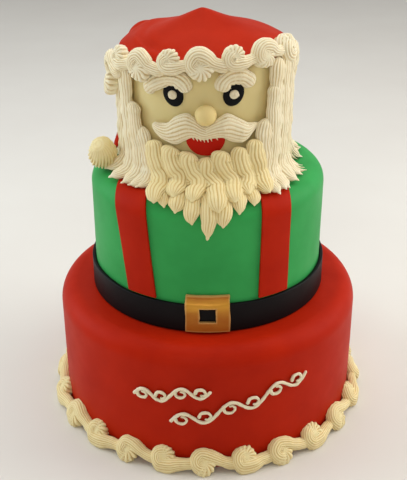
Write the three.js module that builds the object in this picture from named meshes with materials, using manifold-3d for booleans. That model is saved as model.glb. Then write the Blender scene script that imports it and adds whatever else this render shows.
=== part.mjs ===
// A three tier celebration cake made up as a bearded figure in a red hat.
// The bottom tier is red with a piped border, the middle tier is green with braces and a belt,
// and the top tier is an ivory head with a piped beard, piped hair and a draped hat.
// Millimetres, +Z up, the face towards -Y, origin at the centre of the base.
import * as THREE from 'three';
import { mergeVertices } from 'three/addons/utils/BufferGeometryUtils.js';
import Module from 'manifold-3d';

const wasm = await Module();
wasm.setup();

// Clearance between pieces that touch, the facets of a full turn, and the degrees in a radian
const GAP = 0.3;
const FACETS = 48;
const SHOULDER_STEPS = 3;
const DEGREES = 180 / Math.PI;

// Tiers: 12, 9 and 6 inch cakes, each with the round of its top edge
const BOTTOM = { radius: 152.4, base: 0, top: 132, shoulder: 19 };
const MIDDLE = { radius: 114.3, base: 132 + GAP, top: 258, shoulder: 16 };
const HEAD = { radius: 76.2, base: 258 + GAP, top: 377, shoulder: 8 };

// Belt, buckle and braces of rolled icing
const BELT = { thickness: 3.5, height: 30, base: BOTTOM.top + GAP };
const BUCKLE = { middle: -0.2, halfWidth: 10, base: 134, top: 171.6, thickness: 2.6, bend: 5 };
const BUCKLE_HOLE = { halfWidth: 3.4, base: 145, top: 158.5 };
const BRACE = { thickness: 2.4, startRadius: 88, straightSteps: 3 };
const LEFT_BRACE = { topAzimuth: -38.3, footAzimuth: -32.3, topHalf: 9.1, footHalf: 7.7 };
const RIGHT_BRACE = { topAzimuth: 32.5, footAzimuth: 31.8, topHalf: 8, footHalf: 7.9 };

// Face pieces, by azimuth in degrees from the front and height
const EYE = { long: 10.6, short: 8.7, lean: 25, thickness: 1.8 };
const EYES = [
  { name: 'left', azimuth: -23, z: 347.4, lean: 1 },
  { name: 'right', azimuth: 17, z: 348.5, lean: -1 },
];
const PUPIL = { radius: 4, height: 2.6, seat: HEAD.radius + EYE.thickness + 2 * GAP + 0.1 };
const NOSE = { azimuth: -1.3, z: 331.4, radius: 9.5, seat: 4.4 };
const MOUTH = { azimuth: -1.5, halfWidth: 13.5, top: 311, corner: 1, depth: 18, thickness: 1.6 };

// Brows and moustache: azimuth and height along each stroke, and its half width
const BROWS = {
  left: [[-41.5, 346], [-36, 353.5], [-27.5, 360.5], [-19, 362.5], [-13.5, 359], [-11.3, 352.5]],
  right: [[6.6, 354.5], [8.2, 361.5], [13.5, 365.5], [20.5, 365], [26, 360.5], [30.3, 354.5]],
};
const BROW_ROPE = { sides: 8, lift: 3.2, rise: 0.7, bed: 2.6 };
const BROW_FORM = [[0, 0], [0.04, 3.6], [0.3, 5.4], [0.6, 5.8], [0.88, 5.6], [1, 0]];
const MOUSTACHE = {
  left: [[-1.7, 317], [-9, 319], [-17, 316.2], [-24, 313.6], [-31, 314], [-37.5, 317.6]],
  right: [[-0.9, 317], [5.5, 319.4], [13, 317.8], [20, 315], [27.5, 315.4], [34.5, 319.2]],
};
const MOUSTACHE_ROPE = { sides: 10, lift: 4, rise: 0.42, bed: 3.4 };
const MOUSTACHE_FORM = [
  [0, 0], [0.02, 8], [0.18, 11.5], [0.4, 13.4], [0.62, 9.6], [0.84, 5.4], [1, 0],
];

// Piping: how thick a rope of icing is against its width, and its form from root to tip
const ROPE_RISE = 0.62;
const ROPE_FORM = [[0, 0], [0.05, 0.75], [0.22, 1], [0.5, 0.95], [0.74, 1], [0.9, 0.66], [1, 0]];
const LONG_ROPE_FORM = [[0, 0], [0.04, 0.9], [0.76, 1], [0.87, 0.95], [0.95, 0.6], [1, 0]];
const ROPE_SIDES = 6;
const LONG_ROPE_SIDES = 5;
const UNDER_ROPE_SIDES = 5;

// Strands lie this far off the wall, and reach is counted down the drape from its top
const DRAPE = { top: 384, lay: 4.6 };
// Each strand swings to the left, then to the right, and settles towards its tip
const SWING = { turns: 1.05, beat: 1, settle: 0.4, start: 1.6 };

// Beard: root azimuth, root height, tip azimuth, reach, half width, lift and swing
const UPPER_BEARD = [
  [-36.3, 303, -23.2, 149, 9.4, 3.5, 1.4],
  [-22.6, 300.5, -14.5, 143, 9.0, 4.5, 3.0],
  [-10.8, 296.5, -5.0, 147, 8.6, 5.0, 3.4],
  [-0.6, 292.5, 4.2, 156, 8.0, 5.0, 3.2],
  [9.5, 298, 12.3, 148, 8.2, 4.5, 3.6],
  [21.1, 300, 20.8, 141, 8.2, 4.0, 3.0],
  [31.5, 305, 30.5, 143, 8.4, 3.5, 2.2],
];
const LOWER_BEARD = [
  [-30, 274, -19.5, 149, 7.4, 0, 0.8],
  [-17, 276, -14.0, 153, 7.6, 0, 1.2],
  [-9.5, 276, -6.6, 162, 7.4, 0, 1.4],
  [-0.5, 276, 0.2, 177, 7.8, 0, 2.0],
  [7, 276, 6.6, 165, 7.6, 0, 1.8],
  [15, 276, 14.2, 154, 7.4, 0, 1.4],
  [25, 274, 21.5, 148, 7.2, 0, 1.0],
];
const LEFT_HAIR = [
  [-40.5, 281, -42.5, 137, 8.2, 1.5, 0.4],
  [-47, 313, -37, 136, 8.2, 1.0, 1.2],
  [-56, 333, -47, 138, 8.6, 2.0, 1.6],
  [-67, 366, -57.5, 139, 9.2, 1.0, 1.4],
  [-79, 364, -69, 137, 9.4, 0, 1.4],
  [-91.5, 364, -80, 119, 9.4, 0, 1.0],
  [-102, 364, -98.5, 78, 9.8, 0, 0.6],
];
const RIGHT_HAIR = [
  [39.5, 323, 38.5, 141, 8.2, 2.0, 1.8],
  [50, 370, 48.5, 138, 8.6, 0.4, 1.6],
  [58, 370, 59.5, 134, 9.2, 0, 1.4],
  [70, 370, 70.5, 128, 9.2, -1.5, 1.4],
  [82, 370, 82, 124, 9.0, -2.6, 1.2],
];
// The strands round the back start close to the wall and stand out more towards the left
const BACK_HAIR = {
  from: 93.5, to: 230, strands: 13, root: 368, reach: 133, half: 10.4, swing: 1.0,
  lift: { first: -2.6, last: 0.6, over: 4 }, turnSpread: 4, reachSpread: 6,
};
const HAIR_UNDER_TAIL = [
  [239, 352, 239, 137, 9.6, 0.6, 1.0],
  [249.5, 306, 250, 134, 9.2, 0.3, 1.0],
  [260, 290, 261, 132, 9.2, 0.3, 1.0],
];

// Hat: rim, cap and peak of the draped sheet, its soft folds, and the tail down the back left
const HAT = {
  rim: 79.6, base: 371.5, cap: 381.4, round: 10.5, roundPower: 7,
  peak: 407, peakX: -4.5, peakWidth: 41, peakPower: 1.3, folds: 5, fold: 0.8, foldTurn: 0.8,
};
const HAT_FACETS = 32;
const HAT_SHARES = [1, 0.96, 0.88, 0.74, 0.55, 0.36, 0.18, 0];
const HAT_TAIL = [
  [-128, 56, 380], [-121, 73, 379], [-117, 83, 366], [-114, 84, 336],
  [-109, 83, 304], [-97, 86, 288], [-84, 92, 279],
];
const HAT_TAIL_FORM = [[0, 0], [0.03, 10], [0.2, 11], [0.42, 8.8], [0.66, 7], [0.9, 5.6], [1, 0]];
const POMPOM = { azimuth: -76.4, distance: 101.5, z: 275.2, radius: 13.4, knob: 1.3 };

// Trim of the hat: arched lobes of piping all round the rim
const TRIM = {
  lobes: 19, phase: -4.4, radius: 83.2, shift: -3.5, seat: 82, z: 375.5, tilt: 9, arch: 4,
  wave: 3.4, lift: 1.2, thick: 8.2, tall: 9.6, waist: 0.26, least: 0.92, spread: 0.16,
};
// Round the back the trim sinks below the edge of the hat, sooner on the left than on the right
const TRIM_BACK = {
  z: 357, tilt: 1.5, left: { from: 70, over: 26 }, right: { from: 57, over: 52 },
};
// Clearance from the trim to the hair that runs under it
const TRIM_ROOM = 0.6;
const TRIM_STEPS = 4;
const TRIM_SIDES = 6;

// Border round the foot: swirls that curl up and down in turn, each with its tail
const BORDER = {
  swirls: 24, phase: -0.6, head: 0.42, radius: 157.5, z: 11.4, half: 11, sway: 2.6,
  swayOut: 0.7, drop: 2.5, least: 0.94, spread: 0.12,
};
// Degrees by which some swirls start off their even places
const BORDER_MOVED = { 1: -1, 2: -2.6, 3: -2.8, 4: -2.4, 20: 2.4, 21: 2, 22: 2, 23: 0.7 };
const SWIRL_FORM = [
  [0, 0], [0.015, 0.5], [0.12, 0.86], [0.3, 1], [0.48, 0.84], [0.68, 0.5], [0.97, 0.32], [1, 0],
];
const SWIRL_SIDES = 5;

// Scrollwork on the front of the bottom tier: a waved stem with a curl in each wave
const BEAD = { radius: 1.7, sides: 4, clear: 0.1, end: 0.02 };
const CURL = { knots: 5, start: -75, step: 62, reach: 0.92, shrink: 0.1, flat: 0.9, drop: 0.85 };
const STEM = { knotsPerWave: 8, stepsPerWave: 6, thin: 0.1, curlSteps: 5, curlThin: 0.3 };
const SCROLLS = [
  { name: 'upper', from: [-27, 78], to: [1, 92], waves: 2, rise: 6.5, curl: 6.5 },
  { name: 'lower', from: [-13.5, 54], to: [37, 93], waves: 3, rise: 7.5, curl: 7.5 },
];

const radians = (degrees) => (degrees * Math.PI) / 180;

// A fixed draw between 0 and 1 for the unevenness of hand work
function draw(index, salt) {
  const value = Math.sin(index * 12.9898 + salt * 78.233) * 43758.5453;
  return value - Math.floor(value);
}

// A point by azimuth in degrees from the front, distance from the axis, and height
function around(azimuth, radius, z) {
  const turn = radians(azimuth);
  return new THREE.Vector3(radius * Math.sin(turn), -radius * Math.cos(turn), z);
}

function signedVolume(geometry) {
  const position = geometry.attributes.position;
  const [a, b, c] = [new THREE.Vector3(), new THREE.Vector3(), new THREE.Vector3()];
  let sum = 0;
  for (let i = 0; i < geometry.index.count; i += 3) {
    a.fromBufferAttribute(position, geometry.index.getX(i));
    b.fromBufferAttribute(position, geometry.index.getX(i + 1));
    c.fromBufferAttribute(position, geometry.index.getX(i + 2));
    sum += a.dot(b.cross(c));
  }
  return sum / 6;
}

// Sends each point of a stock shape to its place, and turns its faces outwards
function reshaped(stock, place) {
  const bare = stock.clone();
  bare.deleteAttribute('normal');
  bare.deleteAttribute('uv');
  const shape = mergeVertices(bare, 1e-4);
  const position = shape.attributes.position;
  for (let i = 0; i < position.count; i += 1) {
    const at = place(position.getX(i), position.getY(i), position.getZ(i));
    position.setXYZ(i, at.x, at.y, at.z);
  }
  if (signedVolume(shape) < 0) {
    const index = shape.index;
    for (let i = 0; i < index.count; i += 3) {
      const first = index.getX(i);
      index.setX(i, index.getX(i + 1));
      index.setX(i + 1, first);
    }
  }
  return shape;
}

function solidOf(geometry) {
  const mesh = new wasm.Mesh({
    numProp: 3,
    vertProperties: new Float32Array(geometry.attributes.position.array),
    triVerts: new Uint32Array(geometry.index.array),
  });
  return new wasm.Manifold(mesh);
}

function geometryOf(solid) {
  const mesh = solid.getMesh();
  const geometry = new THREE.BufferGeometry();
  geometry.setAttribute('position', new THREE.BufferAttribute(mesh.vertProperties, 3));
  geometry.setIndex(new THREE.BufferAttribute(mesh.triVerts, 1));
  return geometry;
}

const joined = (solids) => solids.reduce((sum, solid) => sum.add(solid));
const without = (solid, ...others) => others.reduce((rest, other) => rest.subtract(other), solid);

// The main body of a cut piece, without the crumbs that the cut leaves
function mainBody(solid) {
  const bodies = solid.decompose();
  return bodies.reduce((best, body) => (body.volume() > best.volume() ? body : best));
}

// A form turned about the upright axis, with azimuth 0 at the front
function turned(profile, facets) {
  const points = profile.map(([radius, z]) => new THREE.Vector2(radius, z));
  return reshaped(new THREE.LatheGeometry(points, facets), (x, y, z) => new THREE.Vector3(x, -z, y));
}

// The outline of a tier from the middle of its base to the middle of its top
function tierOutline(tier, grow) {
  const outline = [[0, tier.base - grow], [tier.radius + grow, tier.base - grow]];
  for (let step = 0; step <= SHOULDER_STEPS; step += 1) {
    const turn = (step / SHOULDER_STEPS) * (Math.PI / 2);
    outline.push([
      tier.radius - tier.shoulder + (tier.shoulder + grow) * Math.cos(turn),
      tier.top - tier.shoulder + (tier.shoulder + grow) * Math.sin(turn),
    ]);
  }
  outline.push([0, tier.top + grow]);
  return outline;
}

const tierSolid = (tier, grow = 0) => solidOf(turned(tierOutline(tier, grow), FACETS));

// A sheet of rolled icing: u across, v along and w through its thickness, each from 0 to 1
function rolled(columns, rows, place) {
  const box = new THREE.BoxGeometry(1, 1, 1, columns, rows, 1);
  return solidOf(reshaped(box, (x, y, z) => place(x + 0.5, y + 0.5, z + 0.5)));
}

// A rope of piped icing: a turned form bent along a path, flat on the side it is laid on
function piped({ form, sides, path, half, rise, grow = 0, bed = 1 }) {
  const points = form.map(([t, width]) => new THREE.Vector2(width, t));
  const stock = new THREE.LatheGeometry(points, sides);
  const step = 1e-3;
  return solidOf(
    reshaped(stock, (x, t, z) => {
      const here = path(t);
      const ahead = path(Math.min(t + step, 1)).at;
      const along = ahead.sub(path(Math.max(t - step, 0)).at).normalize();
      const side = new THREE.Vector3().crossVectors(along, here.out).normalize();
      const out = new THREE.Vector3().crossVectors(side, along);
      const spread = Math.hypot(x, z);
      const swell = spread > 0 ? half + grow / spread : 0;
      const end = t < 1e-6 ? -grow : t > 1 - 1e-6 ? grow : 0;
      const lift = Math.max(z * swell * rise, -bed - grow);
      return here.at
        .clone()
        .addScaledVector(side, x * swell)
        .addScaledVector(out, lift)
        .addScaledVector(along, end);
    }),
  );
}

// The drape that icing follows from the head's wall over the ledge and down the middle tier:
// distance, height and outward direction for a way down it from its top
function drape(way) {
  const wall = HEAD.radius + DRAPE.lay;
  const ledge = MIDDLE.top + DRAPE.lay;
  const edge = MIDDLE.radius - MIDDLE.shoulder;
  const inner = edge - wall;
  const outer = MIDDLE.shoulder + DRAPE.lay;
  const wallRun = DRAPE.top - ledge - inner;
  const innerRun = (Math.PI / 2) * inner;
  const outerRun = (Math.PI / 2) * outer;
  if (way < wallRun) {
    return { radius: wall, z: DRAPE.top - way, out: [1, 0] };
  }
  if (way < wallRun + innerRun) {
    const turn = (way - wallRun) / inner;
    const out = [Math.cos(turn), Math.sin(turn)];
    return { radius: edge - inner * out[0], z: ledge + inner - inner * out[1], out };
  }
  if (way < wallRun + innerRun + outerRun) {
    const turn = (way - wallRun - innerRun) / outer;
    const out = [Math.sin(turn), Math.cos(turn)];
    return { radius: edge + outer * out[0], z: ledge - outer + outer * out[1], out };
  }
  const drop = way - wallRun - innerRun - outerRun;
  return { radius: edge + outer, z: ledge - outer - drop, out: [1, 0] };
}

// The path of one strand of hair or beard
function ropePath([rootAzimuth, rootHeight, tipAzimuth, reach, , lift, swing], index) {
  const start = DRAPE.top - rootHeight;
  const beat = SWING.beat * (draw(index, 1) - 0.5);
  return (t) => {
    const seat = drape(start + (reach - start) * t);
    const ease = Math.sin(Math.PI * Math.min(SWING.start * t, 0.5)) * (1 - SWING.settle * t);
    const sway = -swing * Math.sin(2 * Math.PI * SWING.turns * t + beat) * ease;
    const azimuth = rootAzimuth + (tipAzimuth - rootAzimuth) * t + (sway / seat.radius) * DEGREES;
    const rise = lift * Math.sin(Math.PI * Math.min(1, 0.15 + t));
    const at = around(azimuth, seat.radius + rise * seat.out[0], seat.z + rise * seat.out[1]);
    const out = around(azimuth, seat.out[0], seat.out[1]);
    return { at, out };
  };
}

function ropes(rows, form, sides, salt, grow = 0) {
  return rows.map((row, index) =>
    piped({
      form,
      sides,
      path: ropePath(row, index + salt),
      half: row[4],
      rise: ROPE_RISE,
      bed: DRAPE.lay - GAP,
      grow,
    }),
  );
}

// A path on the wall of the head through the given azimuths and heights
function wallPath(points, lift) {
  const knots = points.map(([azimuth, z]) => new THREE.Vector3(azimuth, z, 0));
  const curve = new THREE.CatmullRomCurve3(knots);
  return (t) => {
    const { x: azimuth, y: z } = curve.getPoint(t);
    return { at: around(azimuth, HEAD.radius + lift, z), out: around(azimuth, 1, 0) };
  };
}

function belt() {
  const inner = MIDDLE.radius + GAP;
  const outer = inner + BELT.thickness;
  const top = BELT.base + BELT.height;
  const section = [[inner, BELT.base], [outer, BELT.base], [outer, top], [inner, top], [inner, BELT.base]];
  return solidOf(turned(section, FACETS));
}

// The buckle lies on the belt, and its upper edge bends in over the belt onto the tier
function buckle() {
  const onBelt = MIDDLE.radius + GAP + BELT.thickness + GAP;
  const onTier = MIDDLE.radius + GAP;
  const beltTop = BELT.base + BELT.height;
  const seat = (z) => {
    const bend = THREE.MathUtils.clamp((z - beltTop - GAP) / BUCKLE.bend, 0, 1);
    return onBelt + (onTier - onBelt) * bend;
  };
  const plate = (half, low, high, from, to, rows) =>
    rolled(6, rows, (u, v, w) => {
      const z = low + (high - low) * v;
      return around(BUCKLE.middle + half * (2 * u - 1), seat(z) + from + (to - from) * w, z);
    });
  const face = plate(BUCKLE.halfWidth, BUCKLE.base, BUCKLE.top, 0, BUCKLE.thickness, 8);
  const hole = plate(BUCKLE_HOLE.halfWidth, BUCKLE_HOLE.base, BUCKLE_HOLE.top, -1, BUCKLE.thickness + 1, 1);
  return without(face, hole);
}

// A brace comes out from under the beard, over the shoulder of the tier and down to the belt
function brace({ topAzimuth, footAzimuth, topHalf, footHalf }, grow = 0) {
  const foot = BELT.base + BELT.height + GAP;
  const route = [[BRACE.startRadius, MIDDLE.top, 0, 1]];
  for (let step = SHOULDER_STEPS; step >= 0; step -= 1) {
    const turn = (step / SHOULDER_STEPS) * (Math.PI / 2);
    const [outward, upward] = [Math.cos(turn), Math.sin(turn)];
    const centre = [MIDDLE.radius - MIDDLE.shoulder, MIDDLE.top - MIDDLE.shoulder];
    const reach = [MIDDLE.shoulder * outward, MIDDLE.shoulder * upward];
    route.push([centre[0] + reach[0], centre[1] + reach[1], outward, upward]);
  }
  for (let step = 1; step <= BRACE.straightSteps; step += 1) {
    const z = THREE.MathUtils.lerp(MIDDLE.top - MIDDLE.shoulder, foot, step / BRACE.straightSteps);
    route.push([MIDDLE.radius, z, 1, 0]);
  }
  const last = route.length - 1;
  return rolled(4, last, (u, v, w) => {
    const [radius, z, outward, upward] = route[Math.round(v * last)];
    const lift = GAP - grow + (BRACE.thickness + 2 * grow) * w;
    const fall = THREE.MathUtils.clamp((MIDDLE.top - z) / (MIDDLE.top - foot), 0, 1);
    const middle = THREE.MathUtils.lerp(topAzimuth, footAzimuth, fall);
    const half = THREE.MathUtils.lerp(topHalf, footHalf, fall) + grow / 2;
    const azimuth = middle + half * (2 * u - 1);
    return around(azimuth, radius + lift * outward, z + lift * upward);
  });
}

// An eye is a leaning oval of black rolled icing
function eye({ azimuth, z, lean }, grow = 0) {
  const disc = new THREE.CylinderGeometry(1, 1, 1, 18);
  const turn = radians(EYE.lean * lean);
  return solidOf(
    reshaped(disc, (x, y, depth) => {
      const across = x * (EYE.short + grow);
      const up = depth * (EYE.long + grow);
      const side = across * Math.cos(turn) - up * Math.sin(turn);
      const rise = across * Math.sin(turn) + up * Math.cos(turn);
      const lift = GAP + EYE.thickness * (y + 0.5) + grow * 2 * y;
      return around(azimuth + (side / HEAD.radius) * DEGREES, HEAD.radius + lift, z + rise);
    }),
  );
}

// A pupil is a piped dot on the eye
function pupil({ azimuth, z }) {
  const dome = new THREE.SphereGeometry(1, 8, 6);
  return solidOf(
    reshaped(dome, (x, y, depth) => {
      const turn = ((x * PUPIL.radius) / PUPIL.seat) * DEGREES;
      const crown = PUPIL.seat + PUPIL.height * Math.max(y, 0);
      return around(azimuth + turn, crown, z + depth * PUPIL.radius);
    }),
  );
}

function nose(grow = 0) {
  const ball = new THREE.SphereGeometry(NOSE.radius + grow, 12, 9);
  const centre = around(NOSE.azimuth, HEAD.radius + NOSE.seat, NOSE.z);
  return solidOf(reshaped(ball, (x, y, z) => new THREE.Vector3(x, y, z).add(centre)));
}

// The mouth is a sheet with a straight top edge and a round lower lip
function mouth(grow = 0) {
  return rolled(8, 2, (u, v, w) => {
    const across = 2 * u - 1;
    const curve = Math.pow(1 - Math.pow(Math.abs(across), 2.2), 0.6);
    const depth = MOUTH.corner + (MOUTH.depth - MOUTH.corner) * curve;
    const z = MOUTH.top + grow - (depth + 2 * grow) * v;
    const lift = GAP - grow + (MOUTH.thickness + 2 * grow) * w;
    return around(MOUTH.azimuth + (MOUTH.halfWidth + grow) * across, HEAD.radius + lift, z);
  });
}

function brow(side, grow = 0) {
  const path = wallPath(BROWS[side], BROW_ROPE.lift);
  return piped({ form: BROW_FORM, path, half: 1, grow, ...BROW_ROPE });
}

function moustache(side, grow = 0) {
  const path = wallPath(MOUSTACHE[side], MOUSTACHE_ROPE.lift);
  return piped({ form: MOUSTACHE_FORM, path, half: 1, grow, ...MOUSTACHE_ROPE });
}

// The cap of the hat rises from its rim to a low peak, with soft folds running down from it
function hatCap(grow = 0) {
  const widen = 1 / Math.cos(Math.PI / HAT_FACETS);
  const hem = HAT.base - grow;
  const lining = tierOutline(HEAD, 2 * GAP - grow).slice(2).reverse();
  const inner = lining.map(([radius, z]) => [radius * widen, z]);
  inner.push([inner.at(-1)[0], hem]);
  const outer = HAT_SHARES.map((share) => [HAT.rim * share, HAT.cap]);
  const points = [...inner, [HAT.rim, hem], ...outer].map(([radius, z]) => new THREE.Vector2(radius, z));
  const stock = new THREE.LatheGeometry(points, HAT_FACETS);
  const place = (x, z, depth) => {
    const azimuth = Math.atan2(x, depth);
    const plain = Math.hypot(x, depth);
    const share = plain / HAT.rim;
    const onTop = z > HAT.cap - GAP;
    if (!onTop && share < 0.999) {
      return around(THREE.MathUtils.radToDeg(azimuth), plain, z);
    }
    const wave = 1 + Math.sin(HAT.folds * azimuth + HAT.foldTurn);
    const fold = HAT.fold * wave * Math.min(1, share * 1.5);
    const radius = share * (HAT.rim + grow + fold);
    if (!onTop) {
      return around(THREE.MathUtils.radToDeg(azimuth), radius, z);
    }
    const peak = (HAT.peak - HAT.cap) * Math.exp(-Math.pow(plain / HAT.peakWidth, HAT.peakPower));
    const round = HAT.round * Math.pow(share, HAT.roundPower);
    const height = HAT.cap + peak - round + fold / 2 + grow;
    const at = around(THREE.MathUtils.radToDeg(azimuth), radius, height);
    at.x += HAT.peakX * (1 - share);
    return at;
  };
  return solidOf(reshaped(stock, place));
}

function hatTail(grow = 0) {
  const knots = HAT_TAIL.map(([azimuth, radius, z]) => around(azimuth, radius, z));
  const curve = new THREE.CatmullRomCurve3(knots);
  const path = (t) => {
    const at = curve.getPoint(t);
    return { at, out: new THREE.Vector3(at.x, at.y, 0.5 * at.length()).normalize() };
  };
  return piped({ form: HAT_TAIL_FORM, sides: 8, path, half: 1, rise: 0.6, bed: HEAD.radius, grow });
}

// The pompom is a ball of short piped points
function pompom(grow = 0) {
  const centre = around(POMPOM.azimuth, POMPOM.distance, POMPOM.z);
  const ball = new THREE.IcosahedronGeometry(1, 2);
  const floor = MIDDLE.top + 2 * GAP - grow;
  let index = 0;
  return solidOf(
    reshaped(ball, (x, y, z) => {
      index += 1;
      const radius = POMPOM.radius + grow + POMPOM.knob * (draw(index, 3) * 2 - 0.6);
      const at = new THREE.Vector3(x, y, z).multiplyScalar(radius).add(centre);
      at.z = Math.max(at.z, floor);
      return at;
    }),
  );
}

// The trim dips to the left of the face and rises to the right of it
function trimHeight(azimuth) {
  const turn = radians(azimuth);
  const front = TRIM.z + TRIM.tilt * Math.sin(turn) + TRIM.arch * Math.cos(2 * turn);
  const back = TRIM_BACK.z + TRIM_BACK.tilt * Math.sin(turn);
  const side = azimuth < 0 ? TRIM_BACK.left : TRIM_BACK.right;
  const share = THREE.MathUtils.smoothstep(Math.abs(azimuth), side.from, side.from + side.over);
  return THREE.MathUtils.lerp(front, back, share);
}

// The trim is one ring of piping that swells into a lobe and waists again all the way round
function hatTrim(grow = 0) {
  const ring = new THREE.TorusGeometry(TRIM.radius, 1, TRIM_SIDES, TRIM.lobes * TRIM_STEPS);
  return solidOf(
    reshaped(ring, (x, y, z) => {
      const azimuth = THREE.MathUtils.radToDeg(Math.atan2(x, -y));
      const count = ((azimuth - TRIM.phase) / 360) * TRIM.lobes;
      const lobe = (Math.round(count) + TRIM.lobes) % TRIM.lobes;
      const part = Math.cos(2 * Math.PI * (count - Math.round(count)));
      const uneven = TRIM.least + TRIM.spread * draw(lobe, 6);
      const waist = 1 - TRIM.waist * (1 - part) * 0.5;
      const share = waist * (1 + (uneven - 1) * Math.max(part, 0));
      const middle = TRIM.radius + TRIM.shift * Math.sin(radians(azimuth)) + TRIM.lift * part;
      const outward = (Math.hypot(x, y) - TRIM.radius) * (TRIM.thick * share + grow);
      const radius = Math.max(middle + outward, TRIM.seat - grow);
      const height = trimHeight(azimuth) + TRIM.wave * part + z * (TRIM.tall * share + grow);
      return around(azimuth, radius, height);
    }),
  );
}

function backHair(grow = 0) {
  const { from, to, strands, root, half, swing, lift } = BACK_HAIR;
  const rows = Array.from({ length: strands }, (_, index) => {
    const azimuth = from + ((to - from) * index) / (strands - 1);
    const tip = azimuth + BACK_HAIR.turnSpread * (draw(index, 8) - 0.5);
    const reach = BACK_HAIR.reach + BACK_HAIR.reachSpread * (draw(index, 9) - 0.5);
    const stand = THREE.MathUtils.lerp(lift.first, lift.last, Math.min(index / lift.over, 1));
    return [azimuth, root, tip, reach, half, stand, swing];
  });
  return joined(ropes([...rows, ...HAIR_UNDER_TAIL], LONG_ROPE_FORM, LONG_ROPE_SIDES, 60, grow));
}

// One swirl of the border: a fat curl that swings up or down and thins to a tail
function borderSwirl(index) {
  const pitch = 360 / BORDER.swirls;
  const moved = BORDER_MOVED[index] ?? 0;
  const beyond = BORDER_MOVED[(index + 1) % BORDER.swirls] ?? 0;
  const start = BORDER.phase + (index - BORDER.head) * pitch + moved;
  const run = pitch + beyond - moved - (GAP / BORDER.radius) * DEGREES;
  const swing = index % 2 === 0 ? 1 : -1;
  const half = BORDER.half * (BORDER.least + BORDER.spread * draw(index, 11));
  const points = SWIRL_FORM.map(([t, width]) => new THREE.Vector2(width, t));
  const stock = new THREE.LatheGeometry(points, SWIRL_SIDES);
  return solidOf(
    reshaped(stock, (x, t, depth) => {
      const sway = BORDER.sway * swing * Math.sin(2 * Math.PI * Math.min(1, t * 0.9 + 0.1));
      const out = BORDER.radius + depth * half - BORDER.swayOut * sway;
      const radius = Math.max(out, BOTTOM.radius + 2 * GAP);
      const z = Math.max(BORDER.z - BORDER.drop * t + x * half + sway, 0);
      return around(start + run * t, radius, z);
    }),
  );
}

// A waved stem with a curl in each wave, piped as a bead on the wall of the bottom tier
function scroll({ from, to, waves, rise, curl }) {
  const wall = BOTTOM.radius + GAP;
  const onWall = (azimuth, z) => around(azimuth, wall + BEAD.radius + BEAD.clear, z);
  const bead = (knots, steps, thin) => {
    const curve = new THREE.CatmullRomCurve3(knots);
    const path = (t) => {
      const at = curve.getPoint(t);
      return { at, out: new THREE.Vector3(at.x, at.y, 0).normalize() };
    };
    const form = [[0, 0]];
    for (let step = 0; step <= steps; step += 1) {
      const t = BEAD.end + ((1 - 2 * BEAD.end) * step) / steps;
      form.push([t, 1 - thin * t]);
    }
    form.push([1, 0]);
    return piped({ form, sides: BEAD.sides, path, half: BEAD.radius, rise: 1, bed: BEAD.radius });
  };
  const spot = (along, offset) => [
    THREE.MathUtils.lerp(from[0], to[0], along),
    THREE.MathUtils.lerp(from[1], to[1], along) + offset,
  ];
  const stem = [];
  for (let knot = 0; knot <= waves * STEM.knotsPerWave; knot += 1) {
    const along = knot / (waves * STEM.knotsPerWave);
    stem.push(onWall(...spot(along, rise * Math.sin(2 * Math.PI * waves * along))));
  }
  const parts = [bead(stem, waves * STEM.stepsPerWave, STEM.thin)];
  for (let half = 0; half < 2 * waves; half += 1) {
    const side = half % 2 === 0 ? 1 : -1;
    const [azimuth, z] = spot((half + 0.5) / (2 * waves), side * (rise - curl * CURL.drop));
    const knots = [];
    for (let knot = 0; knot <= CURL.knots; knot += 1) {
      const turn = radians(CURL.start - CURL.step * knot);
      const reach = curl * (CURL.reach - CURL.shrink * knot);
      const across = ((reach * Math.sin(turn)) / wall) * DEGREES;
      knots.push(onWall(azimuth + across, z + side * reach * Math.cos(turn) * CURL.flat));
    }
    parts.push(bead(knots, STEM.curlSteps, STEM.curlThin));
  }
  return mainBody(joined(parts));
}

const RED = { color: 0x9c1e14, roughness: 0.55, metalness: 0 };
const GREEN = { color: 0x2f9a4a, roughness: 0.55, metalness: 0 };
const IVORY = { color: 0xd9c48f, roughness: 0.6, metalness: 0 };
const CREAM = { color: 0xe6d9ae, roughness: 0.7, metalness: 0 };
const BLACK = { color: 0x14151a, roughness: 0.5, metalness: 0 };
const GOLD = { color: 0xc08a35, roughness: 0.4, metalness: 0.7 };

const cake = new THREE.Group();
function place(name, solid, finish) {
  const mesh = new THREE.Mesh(geometryOf(solid), new THREE.MeshStandardMaterial(finish));
  mesh.name = name;
  cake.add(mesh);
}

// Tiers and the rolled icing on the middle tier
place('bottom_tier', tierSolid(BOTTOM), RED);
place('middle_tier', tierSolid(MIDDLE), GREEN);
place('head_tier', tierSolid(HEAD), IVORY);
place('belt', belt(), BLACK);
place('buckle', buckle(), GOLD);
place('brace_left', brace(LEFT_BRACE), RED);
place('brace_right', brace(RIGHT_BRACE), RED);

// Face
const headRoom = tierSolid(HEAD, GAP);
for (const one of EYES) {
  place(`eye_${one.name}`, eye(one), BLACK);
  place(`pupil_${one.name}`, pupil(one), CREAM);
}
place('mouth', mouth(), RED);
place('nose', without(nose(), headRoom), IVORY);
const eyeRoom = joined(EYES.map((one) => eye(one, GAP)));
for (const side of ['left', 'right']) {
  place(`brow_${side}`, mainBody(without(brow(side), eyeRoom, headRoom)), CREAM);
}
const lipRoom = joined([mouth(GAP), nose(GAP), headRoom]);
place('moustache_left', mainBody(without(moustache('left'), lipRoom)), CREAM);
const parting = moustache('left', GAP);
place('moustache_right', mainBody(without(moustache('right'), lipRoom, parting)), CREAM);

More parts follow.
